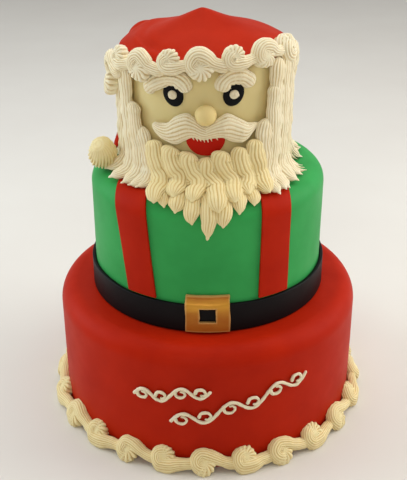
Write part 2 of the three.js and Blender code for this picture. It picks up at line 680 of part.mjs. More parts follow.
// Hat with its tail, pompom and trim
const pompomRoom = pompom(GAP);
const hat = mainBody(without(joined([hatCap(), without(hatTail(), headRoom)]), pompomRoom));
place('hat', hat, RED);
place('pompom', pompom(), CREAM);
const browRoom = joined([brow('left', GAP), brow('right', GAP)]);
const hatRoom = joined([hatCap(GAP), hatTail(GAP)]);
place('hat_trim', mainBody(without(hatTrim(), hatRoom, headRoom, browRoom)), CREAM);

// Beard and hair
const beardRopes = (grow) =>
  joined([
    ...ropes(LOWER_BEARD, ROPE_FORM, UNDER_ROPE_SIDES, 20, grow),
    ...ropes(UPPER_BEARD, ROPE_FORM, ROPE_SIDES, 1, grow),
  ]);
const leftRopes = (grow) => joined(ropes(LEFT_HAIR, LONG_ROPE_FORM, LONG_ROPE_SIDES, 30, grow));
const rightRopes = (grow) => joined(ropes(RIGHT_HAIR, LONG_ROPE_FORM, LONG_ROPE_SIDES, 40, grow));
const moustacheRoom = joined([moustache('left', GAP), moustache('right', GAP)]);
const carriers = [
  headRoom, tierSolid(MIDDLE, GAP), brace(LEFT_BRACE, GAP), brace(RIGHT_BRACE, GAP), mouth(GAP),
  moustacheRoom, hatRoom, hatTrim(TRIM_ROOM), pompomRoom, browRoom,
];
place('beard', mainBody(without(beardRopes(0), ...carriers)), CREAM);
place('hair_left', mainBody(without(leftRopes(0), ...carriers, beardRopes(GAP))), CREAM);
place('hair_right', mainBody(without(rightRopes(0), ...carriers, beardRopes(GAP))), CREAM);
place('hair_back', mainBody(without(backHair(), ...carriers, leftRopes(GAP), rightRopes(GAP))), CREAM);

// Border and scrollwork of the bottom tier
for (let index = 0; index < BORDER.swirls; index += 1) {
  place(`border_swirl_${String(index + 1).padStart(2, '0')}`, borderSwirl(index), CREAM);
}
for (const one of SCROLLS) {
  place(`scroll_${one.name}`, scroll(one), CREAM);
}

export default cake;
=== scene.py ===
"""Looks of a three tier celebration cake made up as a bearded figure in a red hat.

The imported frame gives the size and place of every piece. Rolled icing covers the tiers,
and a star nozzle pipes the beard, the hair, the trim of the hat and the border.
Sizes are in millimetres on the bench and turned into metres as a mesh is set.
"""

import logging
import math
from collections.abc import Callable, Sequence
from dataclasses import dataclass, field, replace
from enum import Enum
from functools import cache
from typing import ClassVar

import bpy
import numpy as np
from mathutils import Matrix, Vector


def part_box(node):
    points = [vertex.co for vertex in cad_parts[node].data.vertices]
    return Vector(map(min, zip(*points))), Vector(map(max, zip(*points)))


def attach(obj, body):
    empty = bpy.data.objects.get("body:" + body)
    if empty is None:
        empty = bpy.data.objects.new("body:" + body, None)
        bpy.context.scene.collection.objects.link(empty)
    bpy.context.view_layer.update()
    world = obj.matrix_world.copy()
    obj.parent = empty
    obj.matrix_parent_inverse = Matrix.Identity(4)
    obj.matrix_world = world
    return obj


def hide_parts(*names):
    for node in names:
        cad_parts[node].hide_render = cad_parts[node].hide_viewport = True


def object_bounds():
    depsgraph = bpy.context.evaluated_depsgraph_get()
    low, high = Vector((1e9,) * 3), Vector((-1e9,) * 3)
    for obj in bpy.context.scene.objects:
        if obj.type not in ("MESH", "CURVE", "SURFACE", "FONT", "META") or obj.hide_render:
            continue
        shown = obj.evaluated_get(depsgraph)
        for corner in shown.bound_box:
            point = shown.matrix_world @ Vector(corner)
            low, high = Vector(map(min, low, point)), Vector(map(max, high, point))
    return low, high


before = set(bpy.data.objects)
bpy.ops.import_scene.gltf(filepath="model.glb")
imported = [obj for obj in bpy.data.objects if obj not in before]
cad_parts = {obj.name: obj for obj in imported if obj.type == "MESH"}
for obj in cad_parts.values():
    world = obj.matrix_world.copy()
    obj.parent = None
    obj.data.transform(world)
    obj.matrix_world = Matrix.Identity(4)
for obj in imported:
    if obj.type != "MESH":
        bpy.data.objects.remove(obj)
cad_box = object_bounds()

log = logging.getLogger("cake")

MM = 0.001
FULL_TURN = 2 * math.pi

Points = np.ndarray
Rows = tuple[tuple[float, ...], ...]
Draw = np.random.Generator
Path = Callable[[Points], tuple[Points, Points]]


# Measures shared by every sub-assembly


def around(azimuth: Points | float, radius: Points | float, height: Points | float) -> Points:
    """Points by azimuth from the front, distance from the axis and height.

    Args:
        azimuth: Degrees from the front, towards the viewer's right.
        radius: Distance from the upright axis.
        height: Height above the base.

    Returns:
        One row of x, y and z for each place.
    """
    turn = np.radians(azimuth)
    parts = np.broadcast_arrays(radius * np.sin(turn), -radius * np.cos(turn), height)
    return np.stack(parts, axis=-1).astype(float)


def smooth(share: Points | float) -> Points | float:
    """An even ease from 0 to 1 over a share that is clipped to that range."""
    held = np.clip(share, 0, 1)
    return held * held * (3 - 2 * held)


def bump(distance: Points | float, spread: float) -> Points | float:
    """A soft hill: 1 at no distance, falling to nothing past its spread."""
    return np.exp(-((distance / spread) ** 2))


def unit(rows: Points) -> Points:
    """Rows scaled to length one."""
    return rows / np.maximum(np.linalg.norm(rows, axis=1, keepdims=True), 1e-9)


def fluting(place: Points) -> Points:
    """Round ridges side by side, one to each whole number: 0 on a crest and 1 down in a groove."""
    return 1 - np.sqrt(np.maximum(0, 1 - (2 * (place % 1.0) - 1) ** 2))


def dome(share: Points) -> Points:
    """A round end, which rises from 0 to 1 as a quarter of a circle does."""
    return np.sqrt(np.clip(1 - (1 - np.clip(share, 0, 1)) ** 2, 0, 1))


def ripple(azimuth: Points, along: Points, seed: int) -> Points:
    """Slow swells over a round wall, from 0 to 1.

    Args:
        azimuth: Degrees round the wall.
        along: Millimetres up the wall.
        seed: Sets where the swells lie.

    Returns:
        The height of the swells at each place.
    """
    draw = np.random.default_rng(seed)
    total, most = np.zeros_like(azimuth), 0.0
    for turns in (2, 3, 5, 8):
        share = 1 / math.sqrt(turns)
        wave = np.radians(azimuth * turns) + along / draw.uniform(14, 40) + draw.uniform(0, FULL_TURN)
        total += share * np.sin(wave)
        most += share
    return (total / most + 1) / 2


class Spline:
    """A smooth line through knots, read by a share from 0 to 1."""

    def __init__(self, knots: Sequence[Sequence[float]]) -> None:
        """Keeps the knots, with one more carried on past each end."""
        held = np.asarray(knots, float)
        self.knots = np.vstack([2 * held[0] - held[1], held, 2 * held[-1] - held[-2]])

    def at(self, share: Points) -> Points:
        """The places at the given shares of the line.

        Args:
            share: Values from 0 to 1.

        Returns:
            One row for each share.
        """
        spans = len(self.knots) - 3
        place = np.clip(share, 0, 1) * spans
        first = np.minimum(place.astype(int), spans - 1)
        u = (place - first)[:, None]
        a, b, c, d = (self.knots[first + step] for step in range(4))
        bend = (2 * a - 5 * b + 4 * c - d) * u**2 + (3 * b - a - 3 * c + d) * u**3
        return 0.5 * (2 * b + (c - a) * u + bend)


@dataclass(frozen=True)
class Tier:
    """One tier of the cake, read from its node in the frame."""

    radius: float
    base: float
    top: float
    shoulder: float

    @classmethod
    def read(cls, node: str, shoulder: float) -> "Tier":
        """The tier that a node of the frame holds.

        Args:
            node: The node's name.
            shoulder: Round of the tier's top edge.

        Returns:
            The tier's measures.
        """
        low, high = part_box(node)
        return cls(max(high.x, high.y) / MM, low.z / MM, high.z / MM, shoulder)


BOTTOM = Tier.read("bottom_tier", shoulder=19.0)
MIDDLE = Tier.read("middle_tier", shoulder=16.0)
HEAD = Tier.read("head_tier", shoulder=8.0)
GAP = MIDDLE.base - BOTTOM.top


# Bench work on meshes

# An edge of cut icing stays sharp from this bend, in degrees
CUT_EDGE = 60.0


def deselect() -> None:
    """Leaves nothing selected."""
    bpy.ops.object.select_all(action="DESELECT")


def take(piece: bpy.types.Object) -> None:
    """Makes a piece the only one selected, and the active one.

    Args:
        piece: The piece to take.
    """
    deselect()
    piece.select_set(True)
    bpy.context.view_layer.objects.active = piece


def newest(name: str) -> bpy.types.Object:
    """The primitive just added, under its own name, with its place in its mesh.

    Args:
        name: Name of the piece.

    Returns:
        The piece.
    """
    piece = bpy.context.active_object
    piece.name = name
    piece.data.name = name
    bpy.ops.object.transform_apply(location=True, rotation=True, scale=True)
    return piece


def points_of(piece: bpy.types.Object) -> Points:
    """The vertices of a piece in millimetres.

    Args:
        piece: The piece to read.

    Returns:
        One row for each vertex.
    """
    flat = np.zeros(len(piece.data.vertices) * 3)
    piece.data.vertices.foreach_get("co", flat)
    return flat.reshape(-1, 3) / MM


def set_points(piece: bpy.types.Object, points: Points) -> None:
    """Sets the vertices of a piece from rows in millimetres."""
    piece.data.vertices.foreach_set("co", (points * MM).ravel())
    piece.data.update()


def note(piece: bpy.types.Object, name: str, values: Points) -> None:
    """Keeps one value for each vertex in an attribute that a finish reads."""
    piece.data.attributes.new(name, "FLOAT", "POINT").data.foreach_set("value", values)


def stock_ball(name: str, laps: int, rings: int) -> tuple[bpy.types.Object, Points, Points]:
    """A ball of icing, ready to be drawn out.

    Args:
        name: Name of the piece.
        laps: Points round each ring.
        rings: Rings from end to end.

    Returns:
        The ball, and the number of the ring and of the lap of each of its points.
    """
    deselect()
    bpy.ops.mesh.primitive_uv_sphere_add(segments=laps, ring_count=rings, radius=MM)
    ball = newest(name)
    at = points_of(ball)
    ring = np.rint(np.arccos(np.clip(at[:, 2], -1, 1)) / math.pi * rings).astype(int)
    lap = np.rint(np.arctan2(at[:, 1], at[:, 0]) / FULL_TURN * laps).astype(int) % laps
    return ball, ring, lap


def face_outwards(piece: bpy.types.Object) -> None:
    """Turns the faces of each closed shell outwards.

    Args:
        piece: The piece to turn them on.
    """
    take(piece)
    bpy.ops.object.mode_set(mode="EDIT")
    bpy.ops.mesh.select_all(action="SELECT")
    bpy.ops.mesh.normals_make_consistent(inside=False)
    bpy.ops.object.mode_set(mode="OBJECT")


def shade(piece: bpy.types.Object, angle: float = 180.0) -> None:
    """Shades a piece smooth, apart from its sharp edges.

    Args:
        piece: The piece to shade.
        angle: Bend in degrees from which an edge stays sharp.
    """
    take(piece)
    if angle < 180.0:
        bpy.ops.object.shade_smooth_by_angle(angle=math.radians(angle))
    else:
        bpy.ops.object.shade_smooth()


def finish_with(piece: bpy.types.Object, kind: str, **settings: object) -> None:
    """Adds a modifier and applies it.

    Args:
        piece: The piece to change.
        kind: Blender's name for the modifier.
        **settings: Values of the modifier's own properties.
    """
    take(piece)
    modifier = piece.modifiers.new(kind.title(), kind)
    for setting, value in settings.items():
        setattr(modifier, setting, value)
    bpy.ops.object.modifier_apply(modifier=modifier.name)


def roughen(piece: bpy.types.Object, patch: float, depth: float, level: float = 0.5) -> None:
    """Gives a surface the unevenness of hand work.

    Args:
        piece: The piece to change.
        patch: Size of one swell of the surface.
        depth: Height between the lowest and the highest place.
        level: Share of the depth that lies below the surface as it was.
    """
    texture = bpy.data.textures.new(piece.name + "_unevenness", "CLOUDS")
    texture.noise_scale = patch * MM
    texture.noise_depth = 1
    finish_with(piece, "DISPLACE", texture=texture, strength=depth * MM, mid_level=level)


def select_faces(piece: bpy.types.Object, test: Callable[[Vector], bool]) -> None:
    """Selects the faces of a piece whose middle passes a test, in edit mode.

    Args:
        piece: The piece, which is left in edit mode.
        test: Says whether a middle, in millimetres, is wanted.
    """
    take(piece)
    bpy.ops.object.mode_set(mode="EDIT")
    bpy.ops.mesh.select_mode(type="FACE")
    bpy.ops.mesh.select_all(action="DESELECT")
    bpy.ops.object.mode_set(mode="OBJECT")
    for part in piece.data.polygons:
        part.select = test(part.center / MM)
    bpy.ops.object.mode_set(mode="EDIT")


def joined(pieces: Sequence[bpy.types.Object], name: str) -> bpy.types.Object:
    """Joins pieces into one object.

    Args:
        pieces: The pieces to join.
        name: Name of the whole.

    Returns:
        The whole.
    """
    take(pieces[0])
    for piece in pieces:
        piece.select_set(True)
    if len(pieces) > 1:
        bpy.ops.object.join()
    pieces[0].name = name
    pieces[0].data.name = name
    return pieces[0]


def mapped_sheet(
    name: str, columns: int, rows: int, place: Callable[[Points, Points], Points]
) -> bpy.types.Object:
    """A sheet of rolled icing laid out by a rule.

    Args:
        name: Name of the piece.
        columns: Faces across.
        rows: Faces along.
        place: Gives the points for shares across and along, each from 0 to 1.

    Returns:
        The sheet, still without thickness.
    """
    deselect()
    bpy.ops.mesh.primitive_grid_add(x_subdivisions=columns, y_subdivisions=rows, size=2 * MM)
    sheet = newest(name)
    flat = points_of(sheet)
    set_points(sheet, place((flat[:, 0] + 1) / 2, (flat[:, 1] + 1) / 2))
    return sheet


def thicken(sheet: bpy.types.Object, thickness: float, edge: float, towards: Sequence[float]) -> None:
    """Gives a sheet its thickness and rounds its edges.

    Args:
        sheet: The sheet to thicken.
        thickness: Thickness of the icing.
        edge: Round of the cut edge.
        towards: Direction that the first face of the sheet should look in.
    """
    take(sheet)
    if sheet.data.polygons[0].normal.dot(Vector(towards)) < 0:
        bpy.ops.object.mode_set(mode="EDIT")
        bpy.ops.mesh.select_all(action="SELECT")
        bpy.ops.mesh.flip_normals()
        bpy.ops.object.mode_set(mode="OBJECT")
    finish_with(sheet, "SOLIDIFY", thickness=thickness * MM, offset=1.0)
    sharp = math.radians(50)
    finish_with(sheet, "BEVEL", width=edge * MM, segments=3, limit_method="ANGLE", angle_limit=sharp)


# Finishes


class Sketch:
    """Adds nodes to a node tree and links them."""

    def __init__(self, tree: bpy.types.NodeTree) -> None:
        """Keeps the tree."""
        self.tree = tree

    def add(self, kind: str, inputs: dict | None = None, **settings: object) -> bpy.types.Node:
        """Adds one node.

        Args:
            kind: Blender's name for the node.
            inputs: Values and sockets for the node's inputs, by name or place.
            **settings: Values of the node's own properties.

        Returns:
            The node.
        """
        node = self.tree.nodes.new(kind)
        for setting, value in settings.items():
            setattr(node, setting, value)
        for key, value in (inputs or {}).items():
            self.feed(node.inputs[key], value)
        return node

    def feed(self, socket: bpy.types.NodeSocket, value: object) -> None:
        """Links a socket to another, or sets its value.

        Args:
            socket: The socket to feed.
            value: A socket or a plain value.
        """
        if isinstance(value, bpy.types.NodeSocket):
            self.tree.links.new(value, socket)
        else:
            socket.default_value = value

    def blend(self, share: object, first: object, second: object) -> bpy.types.NodeSocket:
        """A colour between two.

        Args:
            share: From 0 for the first to 1 for the second.
            first: The first colour.
            second: The second colour.

        Returns:
            The blended colour.
        """
        node = self.add("ShaderNodeMix", data_type="RGBA")
        for place, value in zip((0, 6, 7), (share, first, second)):
            self.feed(node.inputs[place], value)
        return node.outputs[2]

    def ranged(
        self, value: object, source: tuple[float, float], target: tuple[float, float]
    ) -> bpy.types.NodeSocket:
        """A value carried from one range to another and held there."""
        inputs = {0: value, 1: source[0], 2: source[1], 3: target[0], 4: target[1]}
        return self.add("ShaderNodeMapRange", inputs).outputs[0]

    def grouped(
        self, group: bpy.types.NodeTree, place: bpy.types.NodeSocket, scale: float
    ) -> bpy.types.NodeSocket:
        """Places a group in the material.

        Args:
            group: The group to place.
            place: The coordinates that it reads.
            scale: How fine its pattern is.

        Returns:
            The group's one output.
        """
        node = self.add("ShaderNodeGroup", node_tree=group)
        self.feed(node.inputs["Vector"], place)
        self.feed(node.inputs["Scale"], scale)
        return node.outputs[0]


def new_group(name: str, output: str) -> tuple:
    """An empty shader node group that turns a vector and a scale into one value.

    Args:
        name: Name of the group.
        output: Name of its output.

    Returns:
        The group, its sketch, and its input and output nodes.
    """
    group = bpy.data.node_groups.new(name, "ShaderNodeTree")
    sockets = (("Vector", "INPUT", "Vector"), ("Scale", "INPUT", "Float"), (output, "OUTPUT", "Float"))
    for socket, side, kind in sockets:
        group.interface.new_socket(name=socket, in_out=side, socket_type="NodeSocket" + kind)
    sketch = Sketch(group)
    return group, sketch, sketch.add("NodeGroupInput"), sketch.add("NodeGroupOutput")


@cache
def mottle_group() -> bpy.types.NodeTree:
    """Soft patches, as kneaded colour leaves in icing.

    Returns:
        The group, which puts out shares from 0 to 1.
    """
    group, sketch, start, end = new_group("Kneaded Patches", "Share")
    inputs = {"Vector": start.outputs[0], "Scale": start.outputs[1], "Detail": 3.0, "Roughness": 0.6}
    wide = sketch.add("ShaderNodeTexNoise", inputs)
    sketch.feed(end.inputs[0], sketch.ranged(wide.outputs["Fac"], (0.32, 0.68), (0.0, 1.0)))
    return group


@cache
def grain_group() -> bpy.types.NodeTree:
    """A fine grain with small pits in it.

    Returns:
        The group, which puts out the grain's height.
    """
    group, sketch, start, end = new_group("Sugar Grain", "Height")
    vector, scale = start.outputs[0], start.outputs[1]
    inputs = {"Vector": vector, "Scale": scale, "Detail": 4.0, "Roughness": 0.65}
    fine = sketch.add("ShaderNodeTexNoise", inputs)
    cells = sketch.add("ShaderNodeTexVoronoi", {"Vector": vector, "Scale": scale})
    pits = sketch.ranged(cells.outputs["Distance"], (0.0, 0.28), (0.0, 1.0))
    summed = sketch.add("ShaderNodeMath", {0: fine.outputs["Fac"], 1: pits}, operation="MULTIPLY")
    sketch.feed(end.inputs[0], summed.outputs[0])
    return group


Colour = tuple[float, float, float, float]


def tint(red: int, green: int, blue: int) -> Colour:
    """A linear colour from one given as on a screen.

    Args:
        red: The red part, from 0 to 255.
        green: The green part.
        blue: The blue part.

    Returns:
        The linear colour, opaque.
    """
    parts = [value / 255 for value in (red, green, blue)]
    linear = [p / 12.92 if p <= 0.04045 else ((p + 0.055) / 1.055) ** 2.4 for p in parts]
    return (*linear, 1.0)


@dataclass
class Paint:
    """A material in the making: its sketch, its shader and the object's own coordinates."""

    name: str
    material: bpy.types.Material = field(init=False)
    sketch: Sketch = field(init=False)
    shader: bpy.types.Node = field(init=False)
    place: bpy.types.NodeSocket = field(init=False)

    def __post_init__(self) -> None:
        """Makes the material."""
        self.material = bpy.data.materials.new(self.name)
        self.material.use_nodes = True
        self.sketch = Sketch(self.material.node_tree)
        self.shader = self.material.node_tree.nodes["Principled BSDF"]
        self.place = self.sketch.add("ShaderNodeTexCoord").outputs["Object"]

    def set(self, **values: object) -> None:
        """Feeds the shader's sockets, named with underscores in place of spaces."""
        for socket, value in values.items():
            self.sketch.feed(self.shader.inputs[socket.replace("_", " ")], value)

    def noted(self, name: str) -> bpy.types.NodeSocket:
        """An attribute of the piece."""
        return self.sketch.add("ShaderNodeAttribute", attribute_name=name).outputs["Fac"]

    def relief(self, height: bpy.types.NodeSocket, strength: float) -> None:
        """Gives the shader a fine relief."""
        inputs = {"Strength": strength, "Distance": 0.3 * MM, "Height": height}
        self.set(Normal=self.sketch.add("ShaderNodeBump", inputs).outputs[0])


@dataclass(frozen=True)
class RolledIcing:
    """Sugar paste rolled out and smoothed by hand, with a soft bloom of sugar dust."""

    slot: str
    base: Colour
    shade: Colour
    roughness: float = 0.48
    gloss: float = 0.2
    bloom: float = 0.0
    depth: float = 0.1
    patch: float = 22.0
    grain: float = 900.0

    def material(self) -> bpy.types.Material:
        """Builds the material.

        Returns:
            The material.
        """
        paint = Paint(self.slot)
        share = paint.sketch.grouped(mottle_group(), paint.place, self.patch)
        spread = (self.roughness - 0.04, self.roughness + 0.05)
        paint.set(
            Base_Color=paint.sketch.blend(share, self.base, self.shade),
            Roughness=paint.sketch.ranged(share, (0.0, 1.0), spread),
            Specular_IOR_Level=self.gloss,
            Sheen_Weight=self.bloom,
            Sheen_Roughness=0.35,
            Subsurface_Weight=self.depth,
            Subsurface_Radius=(1.0, 0.6, 0.4),
            Subsurface_Scale=2.0 * MM,
        )
        paint.relief(paint.sketch.grouped(grain_group(), paint.place, self.grain), 0.1)
        return paint.material


@dataclass(frozen=True)
class PipedIcing:
    """Buttercream from a star nozzle, with painted shade down in its grooves."""

    slot: str
    ridge: Colour
    groove: Colour
    shade: Colour
    roughness: float = 0.6
    grain: float = 700.0

    def material(self) -> bpy.types.Material:
        """Builds the material.

        Returns:
            The material.
        """
        paint = Paint(self.slot)
        # The groove share blends in the groove colour, which is painted shade down in the grooves
        groove = paint.noted("groove")
        share = paint.sketch.grouped(mottle_group(), paint.place, 45.0)
        kneaded = paint.sketch.blend(share, self.ridge, self.shade)
        paint.set(
            Base_Color=paint.sketch.blend(groove, kneaded, self.groove),
            Roughness=paint.sketch.ranged(groove, (0.0, 1.0), (self.roughness, self.roughness + 0.15)),
            Specular_IOR_Level=0.22,
            Subsurface_Weight=0.1,
            Subsurface_Radius=(1.0, 0.75, 0.45),
            Subsurface_Scale=1.0 * MM,
        )
        paint.relief(paint.sketch.grouped(grain_group(), paint.place, self.grain), 0.25)
        return paint.material


@dataclass(frozen=True)
class BrushedLustre:
    """Gold lustre painted on with a brush and paler along the cut edges; a band of painted highlight lies
    across it.
    """

    slot: str
    highlight_gold: Colour
    deep: Colour
    rim: Colour

    def material(self) -> bpy.types.Material:
        """Builds the material.

        Returns:
            The material.
        """
        paint = Paint(self.slot)
        sketch = paint.sketch
        stretched = sketch.add("ShaderNodeMapping", {"Vector": paint.place, "Scale": (60.0, 60.0, 150.0)})
        inputs = {"Vector": stretched.outputs[0], "Scale": 1.0, "Detail": 3.0, "Roughness": 0.5}
        strokes = sketch.add("ShaderNodeTexNoise", inputs).outputs["Fac"]
        streak = sketch.ranged(strokes, (0.3, 0.7), (-0.1, 0.1))
        # Tone 0 gives the painted highlight colour, tone 1 the deeper gold
        inputs = {0: paint.noted("tone"), 1: streak}
        share = sketch.add("ShaderNodeMath", inputs, operation="ADD", use_clamp=True).outputs[0]
        painted = sketch.blend(share, self.highlight_gold, self.deep)
        paint.set(
            Base_Color=sketch.blend(paint.noted("edge"), painted, self.rim),
            Roughness=sketch.ranged(share, (0.0, 1.0), (0.36, 0.5)),
            Metallic=0.35,
            Specular_IOR_Level=0.35,
        )
        paint.relief(strokes, 0.3)
        return paint.material


Finish = RolledIcing | PipedIcing | BrushedLustre


@dataclass(frozen=True)
class Pantry:
    """Every finish on the cake."""

    red: Finish = RolledIcing("icing_red", tint(182, 35, 8), tint(170, 30, 7), gloss=0.06)
    hat: Finish = RolledIcing("icing_red", tint(181, 39, 10), tint(169, 34, 9), gloss=0.04)
    lip: Finish = RolledIcing("icing_red", tint(198, 35, 18), tint(188, 31, 16), gloss=0.06)
    green: Finish = RolledIcing("icing_green", tint(57, 162, 84), tint(51, 152, 77), gloss=0.1)
    ivory: Finish = RolledIcing("icing_ivory", tint(226, 210, 154), tint(220, 203, 144), depth=0.2)
    nose: Finish = RolledIcing("icing_ivory", tint(234, 212, 150), tint(228, 205, 140), depth=0.2)
    black: Finish = RolledIcing("icing_black", tint(13, 13, 15), tint(10, 10, 12), depth=0.0, gloss=0.12)
    # The first gold colour is a painted highlight, the second the deeper gold
    gold: Finish = BrushedLustre("lustre_gold", tint(208, 150, 48), tint(166, 95, 22), tint(208, 166, 100))
    # In each piped finish the middle colour is painted shade for the grooves
    cream: Finish = PipedIcing("buttercream", tint(244, 236, 208), tint(212, 182, 124), tint(240, 229, 196))
    # The same buttercream, painted yellower for warm light and the yellow shade between the ropes
    warm_lit_cream: Finish = PipedIcing("buttercream", tint(242, 228, 178), tint(208, 172, 102), tint(236, 220, 168))
    bead: Finish = PipedIcing("bead_icing", tint(236, 226, 198), tint(220, 200, 156), tint(230, 218, 186))


PANTRY = Pantry()


@cache
def material_of(finish: Finish) -> bpy.types.Material:
    """The one material of a finish."""
    return finish.material()


def hand_over(piece: bpy.types.Object, finish: Finish, *nodes: str) -> None:
    """Dresses a finished piece and puts it in the place of its nodes.

    Args:
        piece: The finished piece.
        finish: Its finish.
        *nodes: The nodes of the frame that it stands for.
    """
    piece.data.materials.clear()
    piece.data.materials.append(material_of(finish))
    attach(piece, "root")
    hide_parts(*nodes)
    log.info("%s: %d faces for %s", piece.name, len(piece.data.polygons), ", ".join(nodes))


# Piping


@dataclass(frozen=True)
class Nozzle:
    """A piping nozzle: how many ridges it leaves over the upper side, and how deep they are."""

    ridges: int = 10
    depth: float = 0.13
    steps: int = 5
    under: int = 6
    wrap: float = 24.0

    @property
    def laps(self) -> int:
        """Points round the rope that it lays."""
        return max(self.ridges, 1) * self.steps + self.under

    def section(self, lap: Points, draw: Draw) -> tuple[Points, Points, Points]:
        """The angle and the groove's share for each point round the rope.

        Args:
            lap: Number of the point round the rope.
            draw: Makes some grooves deeper than others.

        Returns:
            Angles in radians, with the crown of the rope at a quarter turn, groove shares, and
            whether each point is on the upper side.
        """
        over = max(self.ridges, 1) * self.steps
        low, high = math.radians(-self.wrap), math.radians(180 + self.wrap)
        crown = low + (high - low) * lap / over
        foot = high + (low + FULL_TURN - high) * (lap - over) / self.under
        uneven = draw.uniform(0.6, 1.25, max(self.ridges, 1) + 2)
        groove = fluting(lap / self.steps)
        nearest = np.minimum(np.rint(lap / self.steps).astype(int), len(uneven) - 1)
        shown = lap <= over
        depth = np.where(shown, groove * uneven[nearest], 0.6) * (self.ridges > 0)
        return np.where(shown, crown, foot), depth, shown


@dataclass(frozen=True)
class RopeForm:
    """How a rope swells from its root and thins to its tip, in millimetres along it."""

    cap: float = 6.0
    tip: float = 19.0
    point: float = 1.7
    blunt: float = 0.62
    nib: float = 2.2
    beat: float = 25.0
    swell: float = 0.05
    thin: float = 0.0
    late: float = 0.0
    over: float = 1.0
    flare: float = 0.0

    def width(self, run: Points, draw: Draw) -> Points:
        """The share of full width at each distance along the rope.

        Args:
            run: Distances along the rope, from 0 to its length.
            draw: Sets where the rope swells.

        Returns:
            Shares of full width.
        """
        left = run[-1] - run
        root = dome(run / self.cap)
        spent = np.clip(1 - (left - self.nib) / self.tip, 0, 1)
        tip = np.clip(1 - spent**self.point, 0, 1) ** self.blunt
        if self.nib:
            tip = np.maximum(tip, 0.2 * np.clip(left / self.nib, 0, 1) ** 0.7)
        first, second = draw.uniform(0, FULL_TURN, 2)
        waves = np.sin(FULL_TURN * run / self.beat + first)
        waves += 0.5 * np.sin(FULL_TURN * run / (0.41 * self.beat) + second)
        lost = self.thin * smooth((run / run[-1] - self.late) / self.over)
        return root * tip * (1 + self.swell * waves - lost + self.flare * bump(run - self.cap, 5.0))


STAR = Nozzle()
ROUND = Nozzle(ridges=0, steps=9, under=3, wrap=0.0)


@dataclass
class Rope:
    """One length of piping laid along a path.

    Where it bends tightly, its inner side is held back and heaps up.
    """

    name: str
    path: Path
    half: float
    rise: float
    bed: float
    nozzle: Nozzle = STAR
    form: RopeForm = RopeForm()
    rings: int = 44
    seed: int = 0
    teeth: float = 0.0
    skirt: Callable[[Points], Points] | None = None
    most_bend: float = 0.94
    heap: float = 0.75
    heap_from: float = 0.45
    heap_over: float = 0.4

    def lay(self) -> bpy.types.Object:
        """Lays the rope.

        Returns:
            The rope as a closed mesh, with its groove shares in an attribute that paints shade in the
            grooves.
        """
        draw = np.random.default_rng(self.seed)
        rope, ring, lap = stock_ball(self.name, self.nozzle.laps, self.rings)
        even = np.arange(self.rings + 1) / self.rings
        crowded = 0.45
        share = (1 - crowded) * even + crowded * (1 - np.cos(math.pi * even)) / 2
        points, outs = self.path(share)
        run = np.concatenate([[0], np.cumsum(np.linalg.norm(np.diff(points, axis=0), axis=1))])
        along = unit(np.gradient(points, run, axis=0))
        side = unit(np.cross(along, outs))
        outs = np.cross(side, along)
        width = self.form.width(run, draw) * draw.uniform(0.96, 1.04)
        angle, groove, shown = self.nozzle.section(lap, draw)
        twist = 0.05 * np.sin(run / 9 + draw.uniform(0, FULL_TURN)) * np.sin(math.pi * share)
        angle = angle + twist[ring]
        lean, height = np.cos(angle), np.sin(angle)
        reach = (1 - self.nozzle.depth * groove) * width[ring] * self.half
        pressed = np.maximum(self.bends(along, side, run, width)[ring] * np.sign(lean), 0)
        across = lean * reach * np.minimum(1, self.most_bend / np.maximum(pressed, 0.1))
        heaped = 1 - (1 - height) * (1 - self.heap * smooth((pressed - self.heap_from) / self.heap_over))
        height = np.where(shown, heaped, height)
        bed = self.skirt(share) if self.skirt else np.full_like(share, self.bed)
        up = np.where(height > 0, height * reach * self.rise, height * width[ring] * bed[ring])
        placed = points[ring] + side[ring] * across[:, None] + outs[ring] * up[:, None]
        if self.teeth:
            early = bump(run - 0.5 * self.form.cap, self.form.cap)[ring]
            crest = (1 - np.minimum(groove, 1)) * shown
            placed -= along[ring] * (self.teeth * early * crest)[:, None]
        set_points(rope, placed)
        # The groove attribute paints shade down in the grooves, less where the rope thins
        note(rope, "groove", np.minimum(groove, 1) * np.minimum(width[ring] * 1.5, 1.0))
        return rope

    def bends(self, along: Points, side: Points, run: Points, width: Points) -> Points:
        """How tightly the rope bends at each ring, so that its inner side is pressed into a heap.

        Args:
            along: Direction of the rope at each ring.
            side: Sideways direction at each ring.
            run: Distance along the rope at each ring.
            width: Share of full width at each ring.

        Returns:
            Half the rope's width over the radius of its bend, above 0 towards the side direction.
        """
        bend = np.sum(np.gradient(along, run, axis=0) * side, axis=1)
        bend = np.convolve(np.pad(bend, 2, mode="edge"), np.full(5, 0.2), mode="valid")
        return bend * width * self.half


